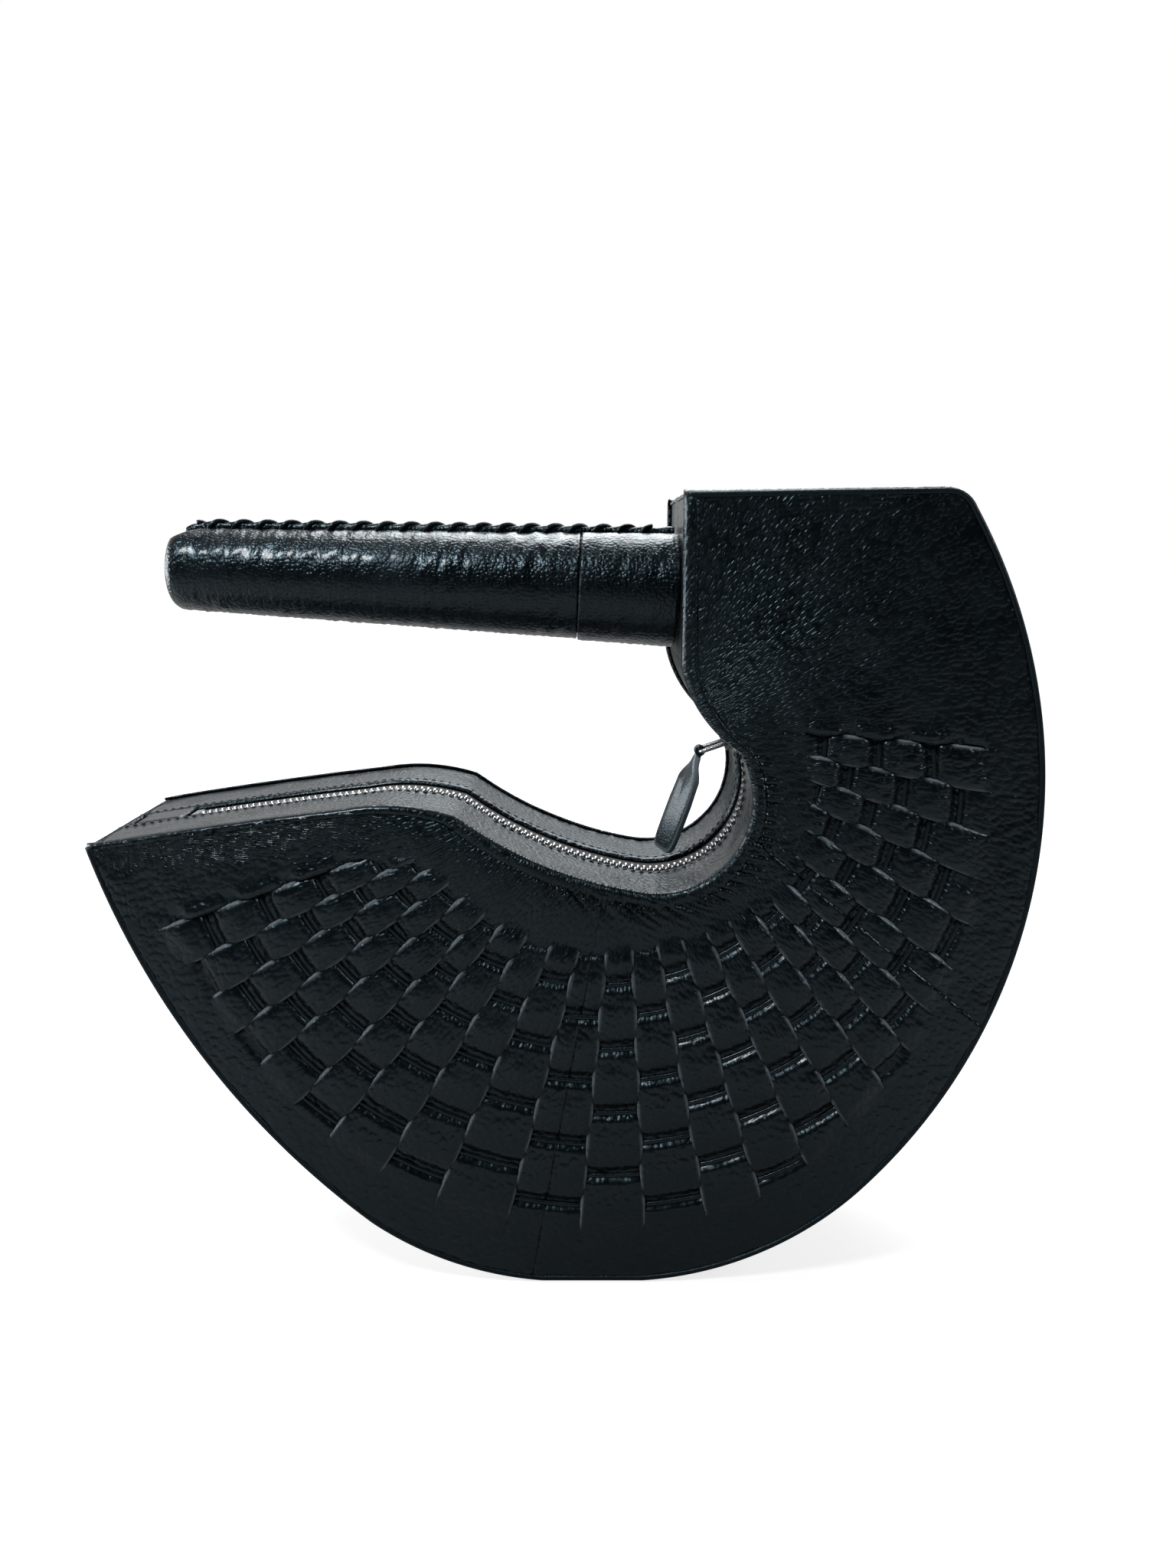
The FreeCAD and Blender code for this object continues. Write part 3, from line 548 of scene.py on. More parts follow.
def metal(name, colour, dark, rough, scratch):
    """Plated or bare metal with fine rubbing marks: noise stretched one way moves the roughness."""
    material, tree = blank(name)
    place = add(tree, "ShaderNodeTexCoord")
    thin = add(tree, "ShaderNodeMapping", {"Scale": (1 / (scratch * MM), 1 / (6 * scratch * MM),
                                                     1 / (scratch * MM))},
               {"Vector": place.outputs["Object"]})
    marks = add(tree, "ShaderNodeTexNoise", {"Scale": 1.0, "Detail": 3.0}, {"Vector": thin.outputs[0]})
    tone = add(tree, "ShaderNodeMix", {"A": linear(dark), "B": linear(colour)},
               {0: marks.outputs["Fac"]}, data_type="RGBA")
    gloss = add(tree, "ShaderNodeMapRange", {"To Min": rough - 0.08, "To Max": rough + 0.1},
                {"Value": marks.outputs["Fac"]})
    bump = add(tree, "ShaderNodeBump", {"Strength": 0.2, "Distance": 0.02 * MM},
               {"Height": marks.outputs["Fac"]})
    shader = add(tree, "ShaderNodeBsdfPrincipled", {"Metallic": 1.0},
                 {"Base Color": tone.outputs["Result"], "Roughness": gloss.outputs[0],
                  "Normal": bump.outputs["Normal"]})
    finish(tree, shader=shader)
    return material


# The face leather's pale slit edges are a painted highlight.
FACE_LEATHER = leather("pebbled_calf_face", mapped=True, edge="cut_edge")
EDGE_LEATHER = leather("pebbled_calf_gusset", dark="#05080A", light="#0E1317", grain=(1.8, 2.2), depth=0.30)
CORD_LEATHER = leather("smooth_calf_cord", dark="#070B0F", light="#12181E", grain=(0.9, 0.9),
                       depth=0.05, rough=(0.32, 0.42))
WELT_LEATHER = leather("smooth_calf_welt", dark="#030507", light="#05080B", grain=(1.2, 1.2),
                       depth=0.06, rough=(0.42, 0.55), coat=0.0)
GRIP_LEATHER = leather("creased_calf_grip", grain=(1.4, 1.4), depth=0.16, crease=(2.6, 14.0),
                       rough=(0.27, 0.40))
THREAD = cloth("waxed_thread", "#0C1013", "#2B3238", 0.3)
TAPE = cloth("zip_twill_tape", "#08090B", "#16181B", 0.6)
LINING = cloth("cotton_lining", "#1C1A1A", "#2C2929", 0.5)
FLEECE = cloth("polyester_fleece", "#8E8B84", "#B3B0A8", 1.2)
BOARD = cloth("bonded_fibre_board", "#6C5C49", "#8A7760", 0.9)
NICKEL = metal("nickel_plated_zinc", "#C9CCCE", "#8F9397", 0.28, 0.4)
STEEL = metal("mild_steel", "#9DA1A5", "#75797D", 0.38, 0.5)
print("materials", len(bpy.data.materials))


# %% Finishing a piece
def dress(piece, material, body="bag", stands_for=()):
    """Give a piece its material and slot, put it on its body, and hide the CAD nodes it stands for."""
    piece.data.materials.clear()
    piece.data.materials.append(material)
    if stands_for:
        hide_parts(*stands_for)
    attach(piece, body)
    return piece


def thicken(piece, mm, offset=-1.0):
    wall = piece.modifiers.new("wall", "SOLIDIFY")
    wall.thickness = mm * MM
    wall.offset = offset
    return piece


# %% The two faces
PARTS = {
    "left": PLACES <= SEAM_PLACES[0],
    "middle": (PLACES >= SEAM_PLACES[0]) & (PLACES <= SEAM_PLACES[1]),
    "head": PLACES >= SEAM_PLACES[1],
}
for part, pick in PARTS.items():
    for face in ("front", "back"):
        grid, edge, grain = face_grid(pick, face == "front")
        # edge is the painted highlight along the raised cut edges, kept as a point attribute.
        piece = grid_object(f"face_{part}_{face}", grid, flip=(face == "back"), cut_edge=edge, uv=grain)
        dress(thicken(piece, 1.1), FACE_LEATHER, stands_for=[f"panel_{face}_{part}"])
    print(part, int(pick.sum()), "columns")


# %% [markdown]
# The cords are flat leather laces with rounded edges. Each is a tube whose centre line runs along its
# curve and waves in and out of the face: over one band, hidden behind the next, and into its hole at
# each end. It sits at the outer side of the hollow it presses, so a shadow lies beside it.

# %% Cords of the weave
NEAR_DEG = np.interp(PLACES, COUNT, TURN)


def tube(path, radius, sides=10, squash_y=1.0):
    """A tube round a 3-D path: circles set across the tangent, with a frame taken from the y axis."""
    t = np.gradient(path, axis=0)
    t /= np.linalg.norm(t, axis=1)[:, None]
    ref = np.array([0.0, 1.0, 0.0])
    side = np.cross(t, ref)
    side /= np.maximum(np.linalg.norm(side, axis=1)[:, None], 1e-6)
    up = np.cross(side, t)
    a = np.linspace(0, 2 * np.pi, sides, endpoint=False)
    radius = np.broadcast_to(radius, (len(path),))[:, None, None]
    ring = side[:, None, :] * np.cos(a)[None, :, None] + squash_y * up[:, None, :] * np.sin(a)[None, :, None]
    return path[:, None, :] + radius * ring


def cord_path(k):
    """Centre line of cord k: its curve in the face, and a wave through it that is flat over and under
    each band and steep at each slit."""
    places = np.linspace(-HOOK / 12, LAST[k] + HOOK / 12, int(LAST[k] * 12))
    deg = np.interp(places, PLACES, NEAR_DEG)
    for _ in range(4):
        p = FAN + unit(deg) * cord_radius(k, deg)[:, None]
        turn, aside = np.interp(places, COUNT, TURN), np.interp(places, COUNT, ASIDE)
        aside = aside + 12 * (np.minimum(places, 0) + np.maximum(places - 24, 0))
        off, along = across_line(p[:, 0], p[:, 1], turn, aside)
        deg = deg - np.degrees(off / along)
    p = FAN + unit(deg) * cord_radius(k, deg)[:, None]
    phase = np.sin(np.pi * (places - np.floor(places)))
    phase = np.where((places < 0) | (places > LAST[k]), 1.0, phase)
    sign = np.where(is_over(k, np.floor(places).astype(int) + 1), 1.0, -1.0)
    wave = np.tanh(3.2 * phase * sign)
    ends = smooth(places, places[0], places[0] + 0.2) * (1 - smooth(places, places[-1] - 0.2, places[-1]))
    level = np.where(wave > 0, SKIN - 0.55 + 0.25 * wave, SKIN - 0.55 + 2.1 * wave)
    level = level * ends + (SKIN - 2.8) * (1 - ends)
    return np.stack([p[:, 0], -level, p[:, 1]], 1)


def cord_set(face):
    """All the cords of one face as one set of points and quads."""
    made = []
    for k in range(CORDS):
        path = cord_path(k)
        if face == "back":
            path = path * [1, -1, 1]
        g = tube(path, 1.1, squash_y=0.6)
        n, m = g.shape[:2]
        made.append((g.reshape(-1, 3), grid_faces(n, m, False, True, False)))
    return join_points(made)


for face in ("front", "back"):
    points, faces = cord_set(face)
    piece = outward(make_object(f"lacing_cords_{face}", points, faces))
    dress(piece, CORD_LEATHER, stands_for=[f"weave_{face}"])
print("cords", CORDS, "a face")


# %% [markdown]
# Round the rim the face and the gusset are joined over piping: a thin cord wrapped in leather. Here it
# is a round profile carried along the rim. The gusset is a strip across the depth, a little
# full in the middle, with a slow unevenness so that its reflections wander as they do on real leather.

# %% Piping, gussets and facings
WELT_R = 1.2
RIM_LINE = even(OUTER, 2.0)
RIM_IN = inward(RIM_LINE, False)
a = np.linspace(0, 2 * np.pi, 10, endpoint=False)
for face, sign in (("front", -1), ("back", 1)):
    grid = carry(RIM_LINE, RIM_IN, sign * (HALF - WELT_R) + WELT_R * np.cos(a), WELT_R + WELT_R * np.sin(a))
    piece = outward(grid_object(f"piping_{face}", grid, wrap_m=True, caps=True))
    dress(piece, WELT_LEATHER, stands_for=[f"welt_{face}"])


def strip_profile(y0, y1, thick, count, round_over=0.8):
    """Closed profile of a leather strip: out along the top, round the edge, back along the inside."""
    top = np.linspace(y0, y1, count)
    inset = round_over * (1 - np.sqrt(np.clip(1 - (1
        - np.minimum(np.abs(top - y0), np.abs(y1 - top)) / 1.2).clip(0) ** 2, 0, 1)))
    under = top[::-1]
    return np.r_[top, under], np.r_[inset, np.full(count, thick)]


def strip(name, curve, body_right, y0, y1, count, relief, material, nodes, thick=1.4):
    """A strip of leather carried along a curve; relief(run, y) lifts its outer side in mm."""
    line = even(curve, 1.6)
    y, depth = strip_profile(y0, y1, thick, count)
    run = lengths(line)[:, None]
    lift = relief(run, y[None, :]) * (np.arange(len(y)) < count)
    grid = carry(line, inward(line, body_right), y, depth[None, :] - lift)
    piece = outward(grid_object(name, grid, wrap_m=True, caps=True))
    return dress(piece, material, stands_for=nodes)


def gusset_relief(run, y):
    """Fuller in the middle of the depth, with slow unevenness."""
    full = 0.5 * (1 - (y / 42.0) ** 2).clip(0)
    return full + 0.22 * ripple(run, y * 1.3, 30, 8) * (1 - (y / 42.0) ** 4).clip(0) - 0.75


strip("gusset_belly", BELLY, False, -42.2, 42.2, 34, gusset_relief, EDGE_LEATHER, ["gusset_outer"])
strip("gusset_top", CROWN, False, -42.2, 42.2, 34, gusset_relief, EDGE_LEATHER, ["gusset_crown"])
strip("gusset_head", HEAD_FACE, True, -43.0, 43.0, 34, gusset_relief, EDGE_LEATHER, ["gusset_face"])

FACING_SEAM = lengths(MOUTH_LIP)[np.argmin(np.abs(MOUTH_LIP[:, 0] - 31.6) + (MOUTH_LIP[:, 1] > 175) * 99)]


def facing_relief(run, y):
    """Gathers along the outer edge in the valley, a seam across at its lowest point, and a hem that
    stands up a little beside the zip."""
    across = np.abs(y)
    valley = smooth(run, 150, 185) * (1 - smooth(run, 262, 285))
    puckers = 0.3 * ripple(run, across * 0.15, 3.0, 31) * np.exp(-((across - 39) / 3.0) ** 2) * valley
    seam = -0.5 * np.exp(-((run - FACING_SEAM) / 0.6) ** 2)
    hem = 0.45 * np.exp(-((across - 11.5) / 1.6) ** 2)
    slow = 0.3 * ripple(run, across, 24, 12) * (1 - ((across - 26) / 17) ** 2).clip(0)
    return puckers + seam + hem + slow - 0.25


strip("facing_lip_front", MOUTH_LIP, True, -43.0, -MOUTH_HALF + 0.6, 26, facing_relief, EDGE_LEATHER,
      ["facing_front"])
strip("facing_lip_back", MOUTH_LIP, True, MOUTH_HALF - 0.6, 43.0, 26, facing_relief, EDGE_LEATHER,
      ["facing_back"])
print("strips made; facing seam at", round(FACING_SEAM), "mm along the mouth")

# %% [markdown]
# The zip is metal: each tooth is a small pressed clamp with a rounded head. One tooth of a few dozen
# faces is worked out once, then placed by arrays at every station along the zip line.

# %% Zip teeth
PITCH = 2.55
CHAIN_DEPTH = 2.2
ZIP_LINE = chain(MOUTH_LIP[:-1], arc(on_valley(31), on_valley(36), on_valley(42), 0.8))
ZIP_IN = inward(ZIP_LINE, True)
CHAIN_LINE = ZIP_LINE + ZIP_IN * CHAIN_DEPTH
CHAIN_LINE = even(CHAIN_LINE[CHAIN_LINE[:, 0] > -147], 0.3)


def tooth_shape():
    """A tooth about its own centre: x along the chain, y out from the middle, z across the tape. Its
    outline in y and z is a rounded box, narrower at the head, drawn in at both faces."""
    t = np.linspace(0, 2 * np.pi, 12, endpoint=False)
    c, s = np.cos(t), np.sin(t)
    y = 1.95 + 1.55 * np.sign(c) * np.abs(c) ** 0.6
    z = 1.35 * np.sign(s) * np.abs(s) ** 0.6 * np.where(y < 1.2, 0.75, 1.0)
    rings = []
    for x, k in ((-0.58, 0.0), (-0.58, 0.78), (-0.42, 1.0), (0.42, 1.0), (0.58, 0.78), (0.58, 0.0)):
        rings.append(np.stack([np.full_like(t, x), 1.95 + (y - 1.95) * k, z * k], 1))
    return np.array(rings)


def teeth(side):
    """Every tooth of one row, placed by its station's point and direction."""
    run = lengths(CHAIN_LINE)
    at = np.arange(0.5 if side > 0 else 0.5 + PITCH / 2, run[-1] - 1, PITCH)
    p = np.stack([np.interp(at, run, CHAIN_LINE[:, i]) for i in (0, 1)], 1)
    q = np.stack([np.interp(at + 0.2, run, CHAIN_LINE[:, i]) for i in (0, 1)], 1)
    t = (q - p) / np.linalg.norm(q - p, axis=1)[:, None]
    shape = tooth_shape()
    rings, m = shape.shape[:2]
    flat = shape.reshape(-1, 3)
    n = np.stack([-t[:, 1], t[:, 0]], 1)
    xz = p[:, None, :] + t[:, None, :] * flat[None, :, 0, None] + n[:, None, :] * flat[None, :, 2, None]
    y = np.broadcast_to(side * (flat[None, :, 1] - 0.1), xz.shape[:2])
    points = np.stack([xz[..., 0], y, xz[..., 1]], -1)
    faces = grid_faces(rings, m, False, True, False)
    all_faces = faces[None] + (np.arange(len(at)) * rings * m)[:, None, None]
    return points.reshape(-1, 3), all_faces.reshape(-1, 4)


for face, side in (("front", -1), ("back", 1)):
    points, faces = teeth(side)
    piece = outward(make_object(f"zip_row_{face}", points, faces))
    dress(piece, NICKEL, stands_for=[f"zip_teeth_{face}"])
print("teeth a row", len(points) // 72)


# %% [markdown]
# Stitches are short lengths of waxed thread lying in the leather with their ends sunk. They follow the
# hem of the mouth and the left edge of the head on both faces, and both edges of the zip facings.

# %% Stitches
def stitch_shape(length, radius):
    """A bent capsule about its own centre: a half-round thread whose ends dip into the leather."""
    x = np.linspace(-1, 1, 7)
    a = np.linspace(0, 2 * np.pi, 6, endpoint=False)
    r = radius * np.sqrt(np.clip(1.02 - x ** 2, 0, 1)).clip(0.05)
    lift = radius * 0.9 * (1 - x ** 2) - 0.25
    return np.stack([
        np.broadcast_to((x * length / 2)[:, None], (7, 6)),
        lift[:, None] + r[:, None] * np.sin(a)[None, :],
        r[:, None] * np.cos(a)[None, :],
    ], -1)


def stitch_row(path, out, pitch=3.4, length=2.5, radius=0.42):
    """Stitches along a 3-D path; out are the outward directions at its points."""
    run = lengths(path)
    at = np.arange(pitch, run[-1] - pitch, pitch)
    p = np.stack([np.interp(at, run, path[:, i]) for i in range(3)], 1)
    q = np.stack([np.interp(at + 0.3, run, path[:, i]) for i in range(3)], 1)
    o = np.stack([np.interp(at, run, out[:, i]) for i in range(3)], 1)
    t = (q - p) / np.linalg.norm(q - p, axis=1)[:, None]
    o /= np.linalg.norm(o, axis=1)[:, None]
    s = np.cross(t, o)
    shape = stitch_shape(length, radius).reshape(-1, 3)
    points = (p[:, None] + t[:, None] * shape[None, :, 0, None] + o[:, None] * shape[None, :, 1, None]
              + s[:, None] * shape[None, :, 2, None])
    faces = grid_faces(7, 6, False, True, False)
    all_faces = faces[None] + (np.arange(len(at)) * 42)[:, None, None]
    return points.reshape(-1, 3), all_faces.reshape(-1, 4)


def edge_row(curve, body_right, inset, y, out_y, lift=0.0):
    """A row set in from an edge on a face, or on the strip itself when out_y is 0."""
    line = even(curve, 1.0)
    n = inward(line, body_right)
    xz = line + n * (inset if out_y else -lift)
    path = np.stack([xz[:, 0], np.full(len(xz), y), xz[:, 1]], 1)
    if out_y:
        return path, np.broadcast_to([0.0, out_y, 0.0], path.shape)
    return path, np.stack([-n[:, 0], 0 * n[:, 0], -n[:, 1]], 1)


for face, sign in (("front", -1), ("back", 1)):
    rows = [
        stitch_row(*edge_row(INNER, True, 2.4, sign * (SKIN + 0.45), sign)),
        stitch_row(*edge_row(MOUTH_LIP, True, 0, sign * 12.2, 0)),
        stitch_row(*edge_row(HEAD_FACE[4:], True, 0, sign * 40.5, 0)),
    ]
    points, faces = join_points(rows)
    piece = outward(make_object(f"stitches_{face}", points, faces))
    dress(piece, THREAD)
print("stitches a face", len(points) // 42)


# %% [markdown]
# The grip is a tapered leather tube, sewn shut along its top with a raised seam that a leather lace is
# whipped over. Its free end is pinched down at the top. A separate cuff covers the end at the head.
# The tube is a surface of two parameters: distance along the axis, and angle round it.

# %% Grip
AXIS = ROOT - FREE
LONG = np.linalg.norm(AXIS)
UNIT = AXIS / LONG
NORMAL = np.array([-UNIT[1], UNIT[0]])


def grip_radius(s):
    return TIP_R + (ROOT_R - TIP_R) * s / LONG


def grip_grid(s, r_extra, turns=96, creases=1.0):
    """Points round the axis: radius by distance, the free end rounded over and pinched at the top,
    and shallow creases running round the tube."""
    a = np.linspace(0, 2 * np.pi, turns, endpoint=False)
    s2, a2 = np.meshgrid(s, a, indexing="ij")
    r = grip_radius(s2) + r_extra
    end = np.clip(1 - s2 / 5.0, 0, 1)
    r = r - 5.0 * (1 - np.sqrt(np.clip(1 - end ** 2, 0, 1)))
    top = np.clip(np.cos(a2), 0, 1)
    under = np.clip(-np.cos(a2), 0, 1)
    crease = (0.20 * ripple(s2, a2 * 7.0, 5.0, 41) * (0.35 + 0.65 * top)
              + 0.10 * ripple(s2 * 1.6, a2 * 4.0, 3.0, 42))
    pleats = 0.12 * np.sin(2 * np.pi * s2 / 3.1 + 0.8 * ripple(s2, a2 * 3, 30, 43)) * under ** 3
    pulls = (-0.35 * np.exp(-((a2 - np.pi + np.pi * np.sign(a2 - np.pi)) * 10 / 6.0) ** 2)
             * (0.5 + 0.5 * np.cos(2 * np.pi * (s2 - 11) / LACE_PITCH)))
    r = r + creases * (crease + pleats + pulls) * smooth(s2, 1.0, 8.0)
    up = r * np.cos(a2)
    roof = grip_radius(s2) * (0.55 + 0.45 * smooth(s2, -8.0, 13.0))
    up = np.where(up > roof, roof + 0.12 * (up - roof), up)
    x = FREE[0] + UNIT[0] * s2 + NORMAL[0] * up
    z = FREE[1] + UNIT[1] * s2 + NORMAL[1] * up
    return np.stack([x, r * np.sin(a2), z], -1)


RING_S = (CUFF_X - FREE[0]) / UNIT[0]
body_s = np.r_[np.array([0.0, 0.15, 0.5, 1.0, 1.7, 2.5, 3.5, 5.0]), np.arange(6.2, RING_S - 1.0, 1.1),
               RING_S - 0.8, RING_S - 0.4]
grid = grip_grid(body_s, 0.0)
ring_mid = [0.0, (FREE + UNIT * RING_S)[1]]
grid[-1] = grid[-2] + [UNIT[0] * 0.4, 0, UNIT[1] * 0.4]
grid[-1, :, 1:] = (grid[-1, :, 1:] - ring_mid) * 0.965 + ring_mid
piece = outward(grid_object("grip_sleeve", grid, wrap_m=True, caps=True))
dress(piece, GRIP_LEATHER, stands_for=["handle_grip_leather", "handle_end_cap"])

cuff_s = np.r_[RING_S - 0.2, RING_S, np.arange(RING_S + 0.8, LONG - 1.4, 1.1), LONG - 0.1]
grid = grip_grid(cuff_s, 0.5, creases=0.8)
centre_z = (FREE[1] + UNIT[1] * cuff_s)[:, None]
close = np.where(np.arange(len(cuff_s)) == 0, 0.955, 1.0)[:, None]
grid[..., 1] *= close
grid[..., 2] = (grid[..., 2] - centre_z) * close + centre_z
piece = outward(grid_object("grip_cuff", grid, wrap_m=True, caps=True))
dress(piece, GRIP_LEATHER, stands_for=["handle_cuff_leather"])


def seam_line(s):
    """The top line of the grip in the side view."""
    up = grip_radius(s) * (0.55 + 0.45 * smooth(s, -8.0, 13.0))
    return FREE + UNIT * s[:, None] + NORMAL * up[:, None]


ridge_s = np.arange(5.0, LONG - 1.5, 0.7)
line = seam_line(ridge_s)
pinch = 0.5 + 0.5 * np.cos(2 * np.pi * (ridge_s - 11) / LACE_PITCH)
a = np.linspace(0, 2 * np.pi, 12, endpoint=False)
tall = (2.5 - 0.55 * pinch)[:, None]
wide = (1.5 - 0.35 * pinch)[:, None]
up = 0.2 + tall * np.cos(a)[None, :] * 1.0
across = wide * np.sin(a)[None, :]
xz = line[:, None, :] + NORMAL * up[..., None]
grid = np.stack([xz[..., 0], across, xz[..., 1]], -1)
piece = outward(grid_object("seam_ridge", grid, wrap_m=True, caps=True))
dress(piece, GRIP_LEATHER, stands_for=["handle_ridge"])

turns = int((LONG - 16.0) / LACE_PITCH)
t = np.linspace(0, turns, turns * 22)
lace_s = 9.0 + LACE_PITCH * (t + 0.16 * np.sin(2 * np.pi * t))
mid = seam_line(lace_s)
up = 0.7 + 2.15 * np.cos(2 * np.pi * t)
across = 2.0 * np.sin(2 * np.pi * t)
xz = mid + NORMAL * up[:, None]
path = np.stack([xz[:, 0], across, xz[:, 1]], 1)
piece = outward(grid_object("whipped_lace", tube(path, 0.8, 10), wrap_m=True, caps=True))
dress(piece, CORD_LEATHER, stands_for=["handle_lace"])
print("lace turns", turns)


# %% [markdown]
# The zip pull is a strap of two layers glued together with painted edges, hung from a wire bail. The
# strap is a rounded outline swept through its thickness. The small end tab closes the far end of the zip.

# %% Pull strap and end tab
BAR = np.array([53.68, 205.61])
PULL_TO = np.array([38.0, 161.0])
PULL = (PULL_TO - BAR) / np.linalg.norm(PULL_TO - BAR)
PULL_N = np.array([-PULL[1], PULL[0]])
a = np.linspace(0, 2 * np.pi, 64, endpoint=False)
along = 22.3 + 21.2 * np.sign(np.cos(a)) * np.abs(np.cos(a)) ** 0.30
half_w = 6.0 * np.sign(np.sin(a)) * np.abs(np.sin(a)) ** 0.32
narrow = np.where(along < 12, 0.36 + 0.64 * smooth(along, 2, 11), 1.0)
levels = [(-1.5, 0.0), (-1.5, 0.55), (-1.5, 0.90), (-1.2, 0.985), (-0.55, 1.0), (0.0, 0.985),
          (0.55, 1.0), (1.2, 0.985),
          (1.5, 0.90), (1.5, 0.55), (1.5, 0.0)]
rows, paint = [], []
for level, k in levels:
    u = 22.3 + (along - 22.3) * k
    w = half_w * narrow * k
    twist = np.radians(34) * smooth(u, 2, 16)
    flat = level * np.cos(twist) - w * np.sin(twist)
    xz = BAR + PULL * u[:, None] + PULL_N * flat[:, None]
    rows.append(np.stack([xz[:, 0], w * np.cos(twist) + level * np.sin(twist), xz[:, 1]], -1))
    paint.append(np.full(64, float(abs(level) < 1.3)))
grid = np.array(rows)
# On the strap the pale edge is its real edge paint, all round.
STRAP_LEATHER = leather("smooth_calf_strap", grain=(1.1, 1.1), depth=0.07, edge="cut_edge")
piece = outward(grid_object("pull_strap", grid, wrap_m=True, cut_edge=np.array(paint)))
dress(piece, STRAP_LEATHER, body="tab", stands_for=["pull_tab"])

a = np.linspace(0, 2 * np.pi, 20, endpoint=False)
ys = np.array([-2.5, -2.4, -1.5, 1.5, 2.4, 2.5])
r_eye = np.array([1.6, 2.05, 2.15, 2.15, 2.05, 1.6])
xz = BAR[None, None] + r_eye[:, None, None] * np.stack([np.cos(a), np.sin(a)], -1)[None]
outer_eye = np.stack([xz[..., 0], np.broadcast_to(ys[:, None], xz.shape[:2]), xz[..., 1]], -1)
xz = BAR[None, None] + 0.95 * np.broadcast_to(np.stack([np.cos(a), np.sin(a)], -1)[None], (2, 20, 2))
inner_eye = np.stack([xz[..., 0], np.broadcast_to(np.array([2.5, -2.5])[:, None], xz.shape[:2]),
                      xz[..., 1]], -1)
grid = np.concatenate([outer_eye, inner_eye])
piece = outward(grid_object("pull_strap_eye", grid, wrap_n=True, wrap_m=True))
dress(piece, STRAP_LEATHER, body="tab")

tab_curve = MOUTH_LIP[(MOUTH_LIP[:, 0] > -171) & (MOUTH_LIP[:, 0] < -151)]
strip("zip_end_patch", tab_curve, True, -9.6, 9.6, 14, lambda run, y: 0.15 + 0 * run * y, EDGE_LEATHER,
      ["zip_end_tab"], thick=1.2)

# %% [markdown]
# The rest of the frame's nodes keep their CAD shape and get a finish of their own: tape, slider, bail,
# stop, and everything inside the walls.

# %% CAD nodes that stay
for name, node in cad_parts.items():
    finish_for = EDGE_LEATHER
    for start, material in (("zip_tape", TAPE), ("zip_", NICKEL), ("slider", NICKEL),
                            ("pull_bail", NICKEL), ("board", BOARD),
                            ("fleece", FLEECE), ("lining", LINING), ("handle_plate", STEEL),
                            ("handle_screws", STEEL)):
        if name.startswith(start):
            finish_for = material
            break
    if name.startswith("zip_tape"):
        finish_for = TAPE
    for i in range(len(node.data.materials)):
        node.data.materials[i] = finish_for
    if not node.data.materials:
        node.data.materials.append(finish_for)


# %% Wood of the core
def beech(name):
    """Turned beech: long pale grain along x with fine darker flecks."""
    material, tree = blank(name)
    place = add(tree, "ShaderNodeTexCoord")
    long_grain = add(tree, "ShaderNodeMapping", {"Scale": (1 / 0.08, 1 / 0.004, 1 / 0.004)},
                     {"Vector": place.outputs["Object"]})
    grain = add(tree, "ShaderNodeTexNoise", {"Scale": 1.0, "Detail": 5.0}, {"Vector": long_grain.outputs[0]})
    tone = add(tree, "ShaderNodeMix", {"A": linear("#B98F63"), "B": linear("#D9B88C")},
               {0: grain.outputs["Fac"]}, data_type="RGBA")
    bump = add(tree, "ShaderNodeBump", {"Strength": 0.3, "Distance": 0.1 * MM},
               {"Height": grain.outputs["Fac"]})
    shader = add(tree, "ShaderNodeBsdfPrincipled", {"Roughness": 0.6},
                 {"Base Color": tone.outputs["Result"], "Normal": bump.outputs["Normal"]})
    finish(tree, shader=shader)
    return material


core_s = np.r_[2.6, np.arange(4.0, LONG, 6.0), LONG - 0.2]
grid = grip_grid(core_s, -2.3, creases=0.0)
piece = outward(grid_object("grip_core", grid, wrap_m=True, caps=True))
dress(piece, beech("turned_beech"), stands_for=["handle_core"])

# %% [markdown]
# Studio: a white floor, a bright sky behind and above and a darker room in front, which is what makes
# black leather read as black on its face and silver along its top edges. Four soft lamps do the rest.

# %% Floor, lights and camera
floor_mat, tree = blank("white_sweep")
rays = add(tree, "ShaderNodeLightPath")
paper = add(tree, "ShaderNodeBsdfDiffuse", {"Color": linear("#A6A6A6")})
ground = add(tree, "ShaderNodeTexCoord")
away = add(tree, "ShaderNodeVectorMath", links={0: ground.outputs["Object"]}, operation="LENGTH")
paler = add(tree, "ShaderNodeMapRange", {"From Min": 0.25, "From Max": 0.7, "To Min": 0.80,
                                         "To Max": 1.0}, {"Value": away.outputs["Value"]})
seen = add(tree, "ShaderNodeMath", links={0: rays.outputs["Is Camera Ray"], 1: paler.outputs[0]},
           operation="MULTIPLY")
glow = add(tree, "ShaderNodeEmission", {"Color": (1, 1, 1, 1)}, {"Strength": seen.outputs[0]})
blend = add(tree, "ShaderNodeAddShader", links={0: paper.outputs[0], 1: glow.outputs[0]})
finish(tree, shader=blend)
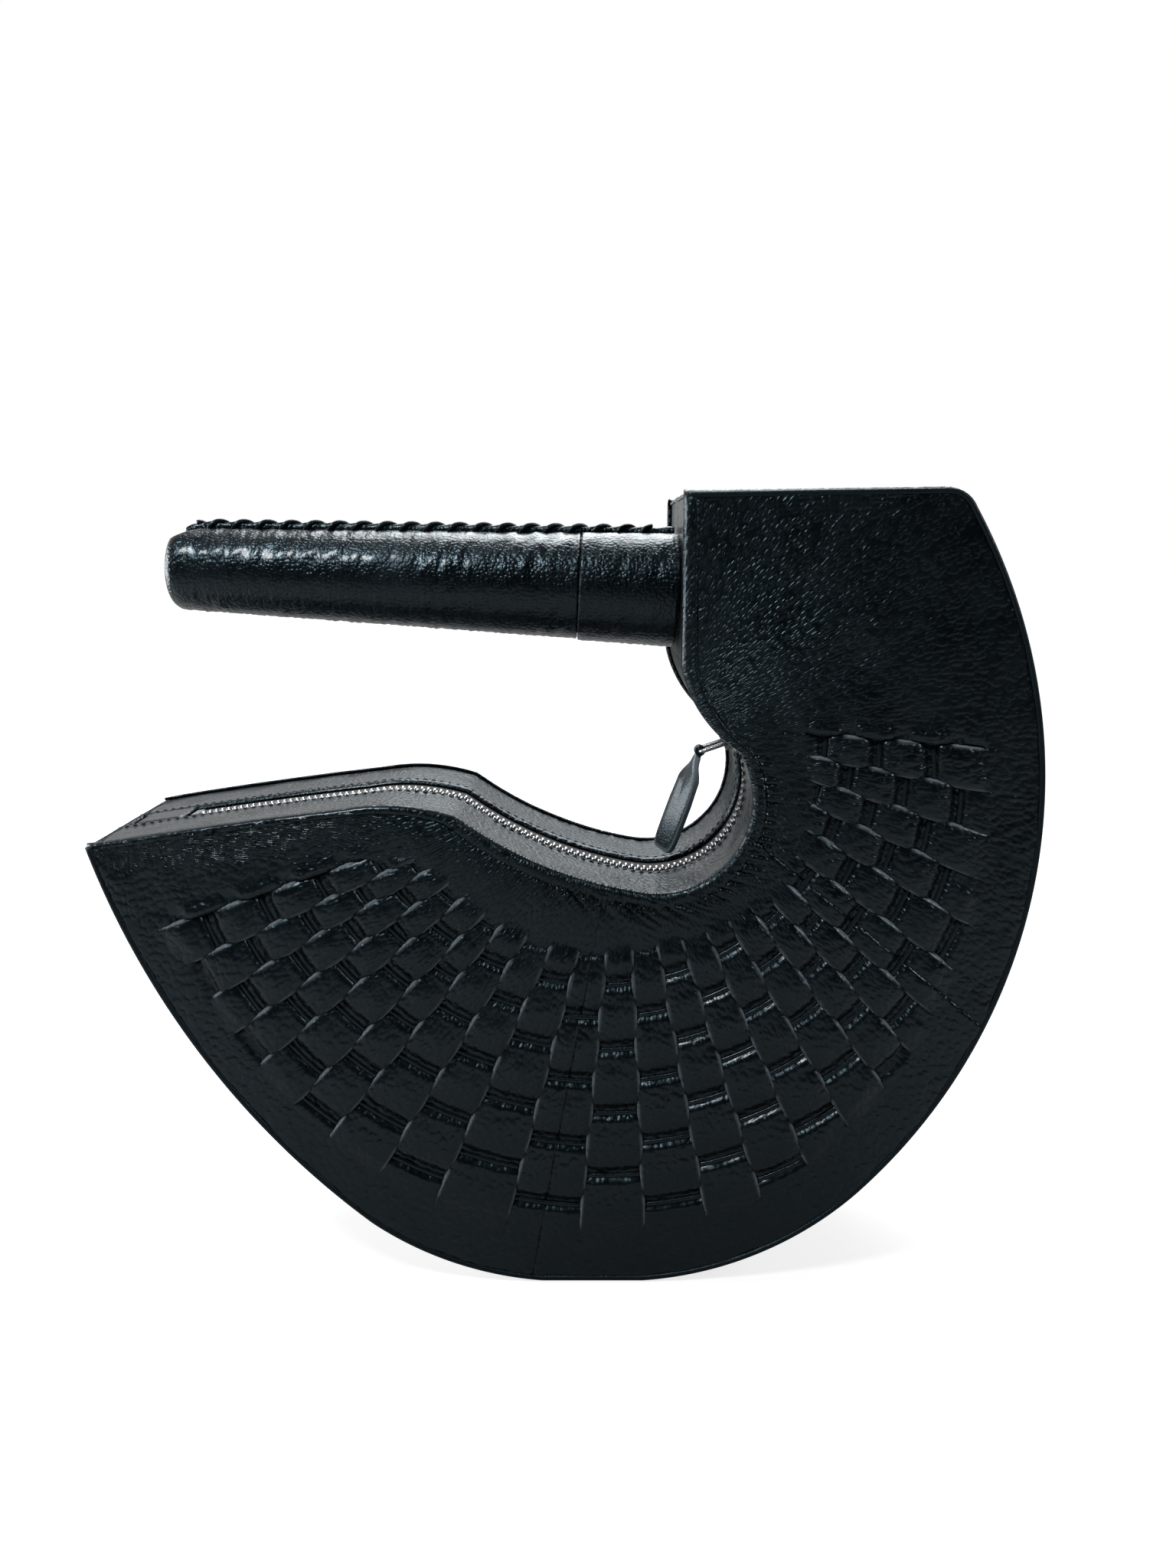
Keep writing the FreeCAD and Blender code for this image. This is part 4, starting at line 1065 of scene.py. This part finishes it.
floor = make_object("floor", np.array([[-6000, -3000, -0.2], [6000, -3000, -0.2], [6000, 9000, -0.2],
                                       [-6000, 9000, -0.2]]),
                    np.array([[0, 1, 2, 3]]), smooth=False)
floor.data.materials.append(floor_mat)

world = bpy.data.worlds.new("studio")
bpy.context.scene.world = world
world.use_nodes = True
tree = world.node_tree
tree.nodes.clear()
place = add(tree, "ShaderNodeTexCoord")
axes = add(tree, "ShaderNodeSeparateXYZ", links={0: place.outputs["Generated"]})
back = add(tree, "ShaderNodeMapRange", {"From Min": -0.05, "From Max": 0.7, "To Min": 0.006,
                                        "To Max": 0.65}, {"Value": axes.outputs["Y"]})
rays = add(tree, "ShaderNodeLightPath")
lit = add(tree, "ShaderNodeMath", links={0: back.outputs[0], 1: rays.outputs["Is Camera Ray"]},
          operation="MAXIMUM")
sky = add(tree, "ShaderNodeBackground", {"Color": (1, 1, 1, 1)}, {"Strength": lit.outputs[0]})
add(tree, "ShaderNodeOutputWorld", links={"Surface": sky.outputs[0]})


def lamp(name, at, to, size, watts):
    """A square soft lamp at a point, turned to another, both in millimetres."""
    light = bpy.data.lights.new(name, "AREA")
    light.size = size * MM
    light.energy = watts
    holder = bpy.data.objects.new(name, light)
    holder.location = Vector(at) * MM
    holder.rotation_euler = (Vector(to) - Vector(at)).to_track_quat("-Z", "Y").to_euler()
    bpy.context.scene.collection.objects.link(holder)
    return holder


AIM = (0, 0, 150)
lamp("key", (-330, -440, 860), AIM, 150, 4.4)
lamp("right_front", (800, -260, 620), AIM, 160, 1.6)
lamp("top_back", (100, 500, 900), AIM, 700, 10.5)
lamp("left_rim", (-900, 120, 300), AIM, 500, 7)

camera_data = bpy.data.cameras.new("camera")
camera_data.sensor_width = 36.0
camera_data.lens = 27.04
camera = bpy.data.objects.new("camera", camera_data)
camera.location = Vector((9.14, -464.0, 283.3)) * MM
camera.rotation_euler = (math.radians(90 - 11.15), 0, 0)
bpy.context.scene.collection.objects.link(camera)
bpy.context.scene.camera = camera
bpy.context.scene.view_settings.view_transform = "Standard"
